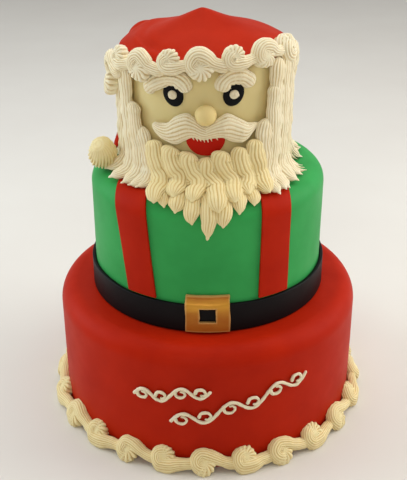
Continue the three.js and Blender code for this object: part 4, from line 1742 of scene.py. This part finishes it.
@dataclass
class Hat:
    """The draped hat with its tail, the pompom at its end and the piped trim.

    The trim's curls are numbered from the front, below 0 towards the viewer's left.
    """

    rim: float = 79.6
    hem: float = 371.5
    cap: float = 381.4
    peak: float = 406.4
    peak_width: float = 41.0
    peak_ahead: float = 4.5
    brim_drop: float = 10.5
    brim_flare: float = 2.8
    icing: float = 2.4
    folds: tuple[Fold, ...] = (
        Fold(height=-3.0, azimuth=-60.0, sector=30.0, out=61.0, slant=0.2, width=4.4),
        Fold(height=1.4, azimuth=-64.0, sector=28.0, out=69.0, slant=0.16, width=4.0),
    )
    tail_knots: Rows = (
        (-128, 56, 380), (-121, 73, 379), (-117, 82, 366), (-113.6, 84, 340),
        (-108.4, 83.2, 308), (-97.5, 85, 284), (-86, 91, 270),
    )
    tail_half: float = 9.6
    voxel: float = 1.15
    pompom_radius: float = 13.6
    pompom_ridges: int = 24
    pompom_shift: tuple[float, float, float] = (-1.6, 0.0, 0.6)
    pompom_stretch: tuple[float, float, float] = (0.93, 1.0, 1.08)
    pompom_pole: tuple[float, float, float] = (-0.2, -0.62, 0.76)
    lobes: int = 19
    phase: float = -4.4
    trim_radius: float = 83.8
    trim_front: float = 375.5
    trim_back: float = 357.0
    trim_grown: ClassVar[dict[int, float]] = {-4: 1.08, -2: 1.08, 0: 1.06, 3: 1.25}
    trim_hung: ClassVar[dict[int, float]] = {-4: 15.0, 0: 1.0}
    trim_moved: ClassVar[dict[int, float]] = {-1: 0.6, 1: 1.2, 2: 3.0, 3: 9.0, 4: 7.0}
    trim_sunk: ClassVar[dict[int, float]] = {
        -5: 5.0, -3: -5.6, -2: -4.6, -1: -2.6, 0: -1.4, 1: 1.2, 2: -2.0, 3: 3.2, 4: 2.0,
    }

    def build(self) -> None:
        """Builds and dresses the hat, the pompom and the trim."""
        hat = joined([self.draped_cap(), self.tail()], "hat_drape")
        finish_with(hat, "REMESH", mode="VOXEL", voxel_size=self.voxel * MM, use_smooth_shade=True)
        finish_with(hat, "SMOOTH", factor=0.5, iterations=4)
        shade(hat)
        hand_over(hat, PANTRY.hat, "hat")
        self.pompom()
        self.trim()

    def crown(self, azimuth: Points, share: Points) -> Points:
        """Height of the outside of the cap: a low peak, its folds, and room for the head.

        Args:
            azimuth: Degrees round the cap.
            share: From 0 at the peak to 1 at the brim.

        Returns:
            The heights.
        """
        plain = share * self.rim
        peak = (self.peak - self.cap) * np.exp(-((plain / self.peak_width) ** 1.3))
        height = self.cap + peak - self.brim_drop * share**7
        towards_tail = (azimuth + 122 + 180) % 360 - 180
        height = height + 4.0 * bump(towards_tail, 15) * smooth((plain - 35) / 30)
        height = height + 1.1 * np.cos(np.radians(azimuth * 5 + 40)) * share**2 * (1 - share**8)
        for fold in self.folds:
            height = height + fold.over(azimuth, plain)
        height = height + bump(azimuth, 75) * 0.7 * np.sin(np.radians(azimuth * 9)) * bump(plain - 60, 14)
        beyond = np.maximum(plain - HEAD.radius + HEAD.shoulder, 0)
        round_off = HEAD.shoulder + 2 * GAP
        least = HEAD.top - HEAD.shoulder + np.sqrt(np.maximum(round_off**2 - beyond**2, 0))
        return np.maximum(height, least + self.icing)

    def draped_cap(self) -> bpy.types.Object:
        """The cap, outside from its peak to its hem and inside along the top of the head.

        Round the back the hem falls to the trim, which sinks there.

        Returns:
            The cap as a closed mesh.
        """
        laps, rings = 200, 132
        cap, ring, lap = stock_ball("hat_cap", laps, rings)
        azimuth = lap * 360 / laps
        azimuth = np.where(azimuth > 180, azimuth - 360, azimuth)
        outer = ring <= rings // 2
        share = np.sin(np.clip(ring / (rings // 2), 0, 1) * math.pi / 2)
        inside = np.clip(2 - ring / (rings // 2), 0, 1)
        plain = share * self.rim
        lining, wall = self.lining(inside), HEAD.radius + 2 * GAP
        line = np.vectorize(self.line)(azimuth)
        fall = np.maximum(self.hem + 3.0 - line, 0) * smooth((abs(azimuth) - 58) / 12)
        tucked = fall * smooth((inside - 0.95) / 0.05)
        within = np.where(tucked > 0.05, np.maximum(lining[0], wall), lining[0])
        flare = self.brim_flare * bump(azimuth + 86, 18) + 0.9 * smooth(fall / 5)
        brim = plain + flare * share**12
        skirt = np.maximum(self.crown(azimuth, share), self.hem) - fall * smooth((plain - 78.3) / 1.3)
        radius = np.where(outer, brim, within)
        points = around(azimuth, radius, np.where(outer, skirt, lining[1] - tucked))
        points[:, 0] += np.where(outer, -self.peak_ahead * (1 - share), 0)
        set_points(cap, points)
        face_outwards(cap)
        return cap

    def lining(self, share: Points) -> tuple[Points, Points]:
        """Radius and height of the inside of the cap, which follows the shoulder of the head.

        Args:
            share: From 0 at the middle to 1 at the hem.

        Returns:
            Distances from the axis, and heights.
        """
        edge, round_off = HEAD.radius - HEAD.shoulder, HEAD.shoulder + 2 * GAP
        least = math.acos((self.hem - HEAD.top + HEAD.shoulder) / round_off)
        turn = least * np.clip((share - 0.8) / 0.2, 0, 1)
        radius = np.where(share < 0.8, edge * share / 0.8, edge + round_off * np.sin(turn))
        return radius, HEAD.top - HEAD.shoulder + round_off * np.cos(turn)

    def tail(self) -> bpy.types.Object:
        """The end of the hat, drawn down the back of the head towards the left shoulder.

        Returns:
            The tail as a closed mesh.
        """
        line = Spline([around(*knot) for knot in self.tail_knots])

        def path(share: Points) -> tuple[Points, Points]:
            """The tail's middle line.

            Args:
                share: Shares of the tail, from the cap to the pompom.

            Returns:
                The places, and the outward direction at each.
            """
            at = line.at(share)
            out = at * (1.0, 1.0, 0.0)
            out[:, 2] = 0.5 * np.linalg.norm(at, axis=1)
            return at, unit(out)

        form = RopeForm(cap=6, tip=14, point=2.0, nib=0, beat=50, swell=0.03, thin=0.5)
        nozzle = Nozzle(ridges=3, depth=0.07)
        rope = Rope("hat_tail", path, self.tail_half, 0.6, 5.4, nozzle, form, rings=60, seed=5)
        tail = rope.lay()
        face_outwards(tail)
        return tail

    def pompom(self) -> None:
        """A rosette of piping: a curl towards the front, and ridges that end in fat points below."""
        low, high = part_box("pompom")
        middle = np.array((low + high) / 2) / MM
        ridges, steps, rings = self.pompom_ridges, 6, 96
        ball, ring, lap = stock_ball("pompom_ball", ridges * steps, rings)
        draw = np.random.default_rng(31)
        down = math.pi * ring / rings
        degrees = np.degrees(down)
        turn = FULL_TURN * lap / (ridges * steps)
        fluted, coiled = fluting(lap / steps), fluting(degrees / 15 + turn / FULL_TURN)
        share = smooth((degrees - 24) / 12)
        groove = coiled * (1 - share) * smooth(degrees / 10) + fluted * share
        late = bump(degrees - 102 + 8 * draw.uniform(-1, 1, ridges)[lap // steps], 13)
        reach = draw.uniform(0.03, 0.13, ridges)[lap // steps]
        out = 1.0 - (0.035 + 0.1 * smooth((degrees - 40) / 40)) * groove
        out += reach * late * (1 - fluted) ** 2
        out = out * self.pompom_radius * (1 + 0.05 * bump(degrees - 25, 18))
        turn = turn + 0.9 * np.cos(down / 2) ** 2
        rows = np.stack([np.sin(down) * np.cos(turn), np.sin(down) * np.sin(turn), np.cos(down)], axis=1)
        pole = unit(np.array([self.pompom_pole]))[0]
        side = unit(np.cross([[0.0, 0.0, 1.0]], pole[None, :]))[0]
        rows = rows @ np.array([side, np.cross(pole, side), pole])
        bell = 1 + 0.06 * smooth(0.5 - rows[:, 2])
        points = rows * (out * bell)[:, None] * self.pompom_stretch + middle + self.pompom_shift
        set_points(ball, points)
        # The groove attribute paints shade down in the grooves, deeper on the lower side away from the pole
        note(ball, "groove", groove * (0.35 + 0.65 * smooth((degrees - 60) / 30)))
        face_outwards(ball)
        roughen(ball, patch=6.0, depth=1.6)
        points = points_of(ball)
        points[:, 2] = np.maximum(points[:, 2], MIDDLE.top + GAP)
        set_points(ball, points)
        shade(ball)
        hand_over(ball, PANTRY.warm_lit_cream, "pompom")

    def line(self, azimuth: float) -> float:
        """Height of the trim's middle, which sinks below the edge of the hat round the back.

        Args:
            azimuth: Degrees round the head.

        Returns:
            The height.
        """
        turn = math.radians(azimuth)
        front = self.trim_front + 9.0 * math.sin(turn) + 4.0 * math.cos(2 * turn)
        back = self.trim_back + 1.5 * math.sin(turn)
        begin, over = (70.0, 26.0) if azimuth < 0 else (57.0, 52.0)
        return front + (back - front) * float(smooth((abs(azimuth) - begin) / over))

    def trim(self) -> None:
        """Curls of piping that turn over and under in turn, all round the rim."""
        numbers = range(-(self.lobes // 2), self.lobes // 2 + 1)
        places = {
            number: self.phase + number * 360 / self.lobes + self.trim_moved.get(number, 0.0)
            for number in numbers
        }
        set_off = {Turn.OVER: -1.5, Turn.UNDER: 1.5}
        ropes = []
        for number, azimuth in places.items():
            beyond = places.get(number + 1, places[numbers[0]] + 360)
            radius = self.trim_radius - 5.0 * math.sin(math.radians(azimuth))
            turn = Turn.of(number)
            curl = Curl(
                azimuth=azimuth,
                height=self.line(azimuth) + set_off[turn] - self.trim_sunk.get(number, 0.0),
                radius=radius,
                pitch=math.radians(beyond - azimuth) * radius,
                turn=turn,
                form=TRIM_FORMS[turn],
                grown=self.trim_grown.get(number, 1.0),
                hang=self.trim_hung.get(number, 0.0),
            )
            ropes += curl.parts(f"trim_curl_{number % self.lobes + 1:02d}", 1150 + number)
        hand_over(pipe(ropes, "hat_trim_curls", depth=0.8), PANTRY.cream, "hat_trim")


@dataclass
class Hair:
    """The beard in two layers, the long hair at both sides, and the hair at the back.

    A row holds the root azimuth and height, tip azimuth, reach, half width, lift and swing
    of one strand.
    """

    beard_form: RopeForm = RopeForm(cap=6, tip=13.5, point=2.0, blunt=0.56, nib=1.6, swell=0.045)
    pointed_form: RopeForm = RopeForm(cap=6, tip=22, point=1.5, blunt=0.7, nib=2.4, swell=0.045)
    hair_form: RopeForm = RopeForm(cap=7, tip=13, point=1.6, blunt=0.6, nib=2.6, beat=24, swell=0.085)
    spike_form: RopeForm = RopeForm(cap=3, tip=9, point=1.2, blunt=0.8, nib=2.0, swell=0.0)
    pointed_reach: float = 170.0
    back_sector: tuple[float, float] = (93.5, 230.0)
    back_count: int = 13
    back_root: float = 368.0
    back_reach: float = 133.0
    upper_beard: Rows = (
        (-36.3, 304, -24.0, 148, 10.0, 4.0, 1.8),
        (-22.6, 301.5, -15.5, 141, 9.6, 5.0, 3.6),
        (-10.8, 297.5, -5.6, 144, 9.3, 5.5, 4.0),
        (-0.6, 293.5, 5.4, 152, 8.8, 5.5, 3.0),
        (9.5, 299, 13.3, 145, 9.3, 5.0, 4.2),
        (21.1, 301, 21.4, 139, 9.3, 4.5, 3.6),
        (31.5, 306, 31.5, 141, 9.2, 4.0, 2.6),
    )
    lower_beard: Rows = (
        (-30, 274, -19.5, 149, 7.6, 0, 0.8),
        (-17, 276, -14.0, 153, 7.8, 0, 1.2),
        (-9.5, 276, -6.6, 162, 7.8, 0, 1.4),
        (-0.5, 276, 0.2, 177, 8.0, 0, 2.0),
        (7, 276, 6.6, 165, 7.8, 0, 1.8),
        (15, 276, 14.2, 154, 7.6, 0, 1.4),
        (25, 274, 21.5, 148, 7.4, 0, 1.0),
    )
    left_hair: Rows = (
        (-40.5, 281, -42.5, 137, 8.2, 1.5, 0.4),
        (-47, 313, -37, 136, 8.4, 1.0, 1.2),
        (-54.2, 333, -46, 139, 8.8, 2.0, 1.6),
        (-65.6, 366, -56.8, 140, 9.4, 1.0, 1.4),
        (-79, 364, -69, 137, 9.6, 0, 1.4),
        (-91.5, 364, -80, 119, 9.4, 0, 1.0),
        (-100, 360, -97, 77, 7.6, -2.6, 0.6),
    )
    right_hair: Rows = (
        (39.5, 323, 35.6, 144, 8.4, 2.0, 1.8),
        (47, 352, 40.6, 142, 8.0, 2.6, 2.0),
        (50, 375, 43.6, 141, 8.8, 0.4, 1.6),
        (58, 374, 53.2, 138, 9.2, 0, 1.4),
        (70, 370, 64.0, 133, 8.8, -2.6, 1.6),
        (82, 370, 76.4, 119, 8.4, -4.4, 1.2),
    )
    under_tail: Rows = (
        (239, 352, 239, 137, 9.6, 0.6, 1.0),
        (249.5, 306, 250, 134, 9.2, 0.3, 1.0),
        (260, 290, 261, 132, 9.2, 0.3, 1.0),
        (256, 350, 258, 130, 8.8, -2.4, 1.0),
        (266, 352, 267, 127, 8.4, -2.4, 1.0),
    )

    def build(self) -> None:
        """Builds and dresses the beard and all the hair."""
        lower = self.strands(self.lower_beard, "beard_low", self.beard_form, rings=44, seed=20)
        upper = self.strands(self.upper_beard, "beard_high", self.beard_form, rings=56, seed=1)
        hand_over(pipe(lower + upper, "beard_strands"), PANTRY.warm_lit_cream, "beard")
        left = self.strands(self.left_hair, "hair_left", self.hair_form, rings=68, seed=30, flick=-2.2)
        hand_over(pipe(left, "hair_strands_left"), PANTRY.cream, "hair_left")
        right = self.strands(self.right_hair, "hair_right", self.hair_form, rings=68, seed=40, flick=0.8)
        right += self.spikes(self.right_hair[4:], "spike_right", seed=440)
        hand_over(pipe(right, "hair_strands_right"), PANTRY.cream, "hair_right")
        rows = (*self.back_rows(), *self.under_tail)
        back = self.strands(rows, "hair_back", self.hair_form, rings=60, seed=60)
        hand_over(pipe(back, "hair_strands_back"), PANTRY.cream, "hair_back")

    def strands(
        self, rows: Rows, name: str, form: RopeForm, rings: int, seed: int, flick: float = 0.0
    ) -> list[Rope]:
        """Ropes for rows of strand measures, pointed where they end high.

        Args:
            rows: The measures of each strand.
            name: First part of the ropes' names.
            form: How the ropes swell and thin.
            rings: Steps along each rope.
            seed: Seed of the first rope.
            flick: How far the tips turn away, in degrees round the tier.

        Returns:
            The ropes, not laid yet.
        """
        ropes = []
        for index, row in enumerate(rows):
            own = self.pointed_form if row[3] > self.pointed_reach else form
            ropes.append(Strand(*row, flick).rope(f"{name}_{index}", seed + index, own, rings))
        return ropes

    def spikes(self, rows: Rows, name: str, seed: int) -> list[Rope]:
        """Small pulled points at the ends of the strands on the right, flicked outwards.

        Args:
            rows: The measures of the strands that end in them.
            name: First part of the ropes' names.
            seed: Seed of the first rope.

        Returns:
            The ropes, not laid yet.
        """
        drape = Drape()
        draw = np.random.default_rng(seed)
        ropes = []
        for index, row in enumerate(rows):
            for number in range(3):
                azimuth = row[2] + 1.0 + 3.2 * number + draw.uniform(-0.8, 0.8)
                end = row[3] + 2.0 - 4.0 * number + draw.uniform(-1.0, 1.5)
                begin = drape.top - end + 14.0
                half = draw.uniform(2.0, 3.0)
                spike = Strand(azimuth - 1.4, begin, azimuth + 2.6, end, half, 0.8 + row[5] * 0.5)
                label, own = f"{name}_{index}_{number}", seed + 10 * index + number
                ropes.append(spike.rope(label, own, self.spike_form, 20, Nozzle(ridges=3)))
        return ropes

    def back_rows(self) -> Rows:
        """Strands round the back, each a little different.

        Returns:
            Their rows of measures.
        """
        draw = np.random.default_rng(8)
        rows = []
        for index, azimuth in enumerate(np.linspace(*self.back_sector, self.back_count)):
            tip, reach = azimuth + draw.uniform(-2.5, 2.5), draw.uniform(-3, 3)
            lift = -4.4 + 5.0 * min(1.0, index / 4)
            short = 8.0 * max(0.0, 1 - index / 2)
            swing = draw.uniform(0.8, 1.8)
            rows.append((azimuth, self.back_root, tip, self.back_reach + reach - short, 9.8, lift, swing))
        return tuple(rows)


@dataclass
class FootBorder:
    """The curls round the foot of the bottom tier, each its own piece."""

    count: int = 24
    phase: float = -1.7
    radius: float = 157.6
    height: float = 12.3
    clear: float = 0.3
    sag: float = 3.4
    sag_height: float = 9.0
    moved: ClassVar[dict[int, float]] = {
        1: -0.6, 2: -2.0, 3: -2.6, 4: -3.0, 5: -2.4, 19: 1.6, 20: 3.0, 21: 2.4, 22: 2.0, 23: 0.8,
    }

    def build(self) -> None:
        """Builds and dresses every curl."""
        pitch = 360 / self.count
        for index in range(self.count):
            start, beyond = self.moved.get(index, 0.0), self.moved.get((index + 1) % self.count, 0.0)
            turn = Turn.of(index)
            curl = Curl(
                azimuth=self.phase + index * pitch + start,
                height=self.height,
                radius=self.radius,
                pitch=math.radians(pitch + beyond - start) * self.radius,
                turn=turn,
                form=FOOT_FORMS[turn],
            )
            name = f"border_curl_{index + 1:02d}"
            piece = pipe(curl.parts(name, 2850 + index), name, depth=0.8)
            self.settle(piece)
            hand_over(piece, PANTRY.warm_lit_cream, f"border_swirl_{index + 1:02d}")

    def settle(self, piece: bpy.types.Object) -> None:
        """Lets the foot of a curl sink flat, and keeps the curl inside the cake's full width.

        Args:
            piece: The curl.
        """
        reach = cad_box[1].x / MM - self.clear
        points = points_of(piece)
        spread = np.hypot(points[:, 0], points[:, 1])
        points[:, :2] *= np.minimum(1, reach / spread)[:, None]
        sunk = points[:, 2] - self.sag * (1 - smooth(points[:, 2] / self.sag_height))
        points[:, 2] = np.maximum(sunk, 0.0)
        set_points(piece, points)


@dataclass
class Scrollwork:
    """Waved stems with a curl in each half wave, piped on the front of the bottom tier."""

    bead: float = 1.7
    stem_knots: int = 8
    stem_rings: int = 40
    curl_knots: int = 6
    curl_rings: int = 36

    def build(self) -> None:
        """Builds and dresses the two scrolls."""
        self.scroll("upper", begin=(-27.0, 78.0), end=(1.0, 92.0), waves=2, rise=6.5)
        self.scroll("lower", begin=(-13.5, 54.0), end=(37.0, 93.0), waves=3, rise=7.5)

    def beading(self, name: str, knots: Rows, rings: int, thin: float, seed: int) -> Rope:
        """One smooth bead of icing on the wall of the bottom tier.

        Args:
            name: Name of the bead.
            knots: Azimuth and height of each knot.
            rings: Steps along it.
            thin: Share of its width that is lost along it.
            seed: Seed of its unevenness.

        Returns:
            The bead, not laid yet.
        """
        form = RopeForm(cap=1.6, tip=1.8, point=2.0, blunt=0.5, nib=0, beat=9, swell=0.07, thin=thin)
        path = wall_path(knots, BOTTOM.radius + GAP, self.bead)
        return Rope(name, path, self.bead, 1.0, self.bead, ROUND, form, rings, seed)

    def scroll(
        self, side: str, begin: tuple[float, float], end: tuple[float, float], waves: int, rise: float
    ) -> None:
        """One waved stem with its curls.

        Args:
            side: "upper" or "lower".
            begin: Azimuth and height of its left end.
            end: Azimuth and height of its right end.
            waves: Whole waves along it.
            rise: Height of a wave, and size of a curl.
        """

        def spot(along: float, offset: float) -> tuple[float, float]:
            """A place by its share of the way along, and its height over the straight line."""
            return begin[0] + (end[0] - begin[0]) * along, begin[1] + (end[1] - begin[1]) * along + offset

        steps = waves * self.stem_knots
        stem = [spot(k / steps, rise * math.sin(FULL_TURN * waves * k / steps)) for k in range(steps + 1)]
        beads = [self.beading(f"stem_{side}", stem, waves * self.stem_rings, thin=0.1, seed=3)]
        for number in range(2 * waves):
            way = 1 if number % 2 == 0 else -1
            azimuth, height = spot((number + 0.5) / (2 * waves), way * rise * 0.15)
            knots = []
            for knot in range(self.curl_knots):
                turn = math.radians(-75 - 62 * knot)
                reach = rise * (0.92 - 0.1 * knot)
                across = math.degrees(reach * math.sin(turn) / BOTTOM.radius)
                knots.append((azimuth + across, height + way * reach * math.cos(turn) * 0.9))
            name = f"curl_{side}_{number}"
            beads.append(self.beading(name, knots, self.curl_rings, thin=0.3, seed=10 + number))
        piece = pipe(beads, f"scroll_stem_{side}", patch=3.0, depth=0.5)
        hand_over(piece, PANTRY.bead, f"scroll_{side}")


@dataclass(frozen=True)
class Lamp:
    """A soft square light: where it hangs and the length of its side, both in metres, and its power."""

    name: str
    place: tuple[float, float, float]
    size: float
    power: float
    colour: tuple[float, float, float]

    def hang(self) -> None:
        """Hangs the light, turned to the middle of the cake."""
        data = bpy.data.lights.new(self.name, "AREA")
        data.shape = "SQUARE"
        data.size, data.energy, data.color = self.size, self.power, self.colour
        lamp = bpy.data.objects.new(self.name, data)
        lamp.location = self.place
        towards = Vector((0, 0, 0.2)) - Vector(self.place)
        lamp.rotation_euler = towards.to_track_quat("-Z", "Y").to_euler()
        bpy.context.scene.collection.objects.link(lamp)


@dataclass
class Studio:
    """A pale floor, soft lights, and a camera at the photograph's angle."""

    lens: float = 67.5
    eye: tuple[float, float, float] = (-2.84, -822.75, 593.92)
    pitch: float = 27.35
    roll: float = 0.19
    floor_size: float = 12.0
    lamps: tuple[Lamp, ...] = (
        Lamp("window_right", (1.5, 0.15, 0.9), size=1.2, power=16.2, colour=(1.0, 0.97, 0.93)),
        Lamp("window_left", (-1.5, 0.25, 0.8), size=1.2, power=13.4, colour=(0.84, 0.94, 1.0)),
        Lamp("ceiling", (0.1, 0.2, 2.1), size=2.2, power=24.0, colour=(1.0, 0.99, 0.97)),
        Lamp("fill", (-0.2, -1.9, 1.1), size=1.0, power=9.6, colour=(1.0, 0.93, 0.82)),
    )

    def build(self) -> None:
        """Builds the floor, the lights and the camera."""
        self.floor()
        for lamp in self.lamps:
            lamp.hang()
        self.surroundings()
        self.camera()

    def floor(self) -> None:
        """A wide pale floor."""
        deselect()
        bpy.ops.mesh.primitive_plane_add(size=self.floor_size, location=(0, 0, 0))
        floor = newest("floor")
        paint = Paint("pale_floor")
        share = paint.sketch.grouped(mottle_group(), paint.place, 3.0)
        tone = paint.sketch.blend(share, tint(222, 219, 213), tint(218, 214, 208))
        paint.set(Base_Color=tone, Roughness=0.75, Specular_IOR_Level=0.2)
        floor.data.materials.append(paint.material)

    @staticmethod
    def surroundings() -> None:
        """A pale room, brighter at its far end than behind the camera."""
        world = bpy.data.worlds.new("pale_room")
        world.use_nodes = True
        sketch = Sketch(world.node_tree)
        direction = sketch.add("ShaderNodeTexCoord").outputs["Generated"]
        depth = sketch.add("ShaderNodeSeparateXYZ", {0: direction}).outputs["Y"]
        background = world.node_tree.nodes["Background"]
        background.inputs["Color"].default_value = tint(236, 236, 234)
        sketch.feed(background.inputs["Strength"], sketch.ranged(depth, (-0.9, 0.5), (0.16, 0.58)))
        bpy.context.scene.world = world

    def camera(self) -> None:
        """The camera, looking down on the face."""
        data = bpy.data.cameras.new("camera")
        data.lens = self.lens
        data.sensor_fit = "AUTO"
        data.clip_start, data.clip_end = 0.05, 30.0
        camera = bpy.data.objects.new("camera", data)
        camera.location = Vector(self.eye) * MM
        camera.rotation_euler = (math.radians(90 - self.pitch), math.radians(self.roll), 0)
        bpy.context.scene.collection.objects.link(camera)
        bpy.context.scene.camera = camera
        bpy.context.scene.view_settings.view_transform = "Standard"


def main() -> None:
    """Builds the studio and every sub-assembly, and notes the sizes."""
    logging.basicConfig(level=logging.INFO, format="%(message)s")
    for part in (Studio(), Tiers(), BeltAndBraces(), Face(), Hat(), Hair(), FootBorder(), Scrollwork()):
        part.build()
        log.info("%s built", type(part).__name__)


if __name__ == "__main__":
    main()
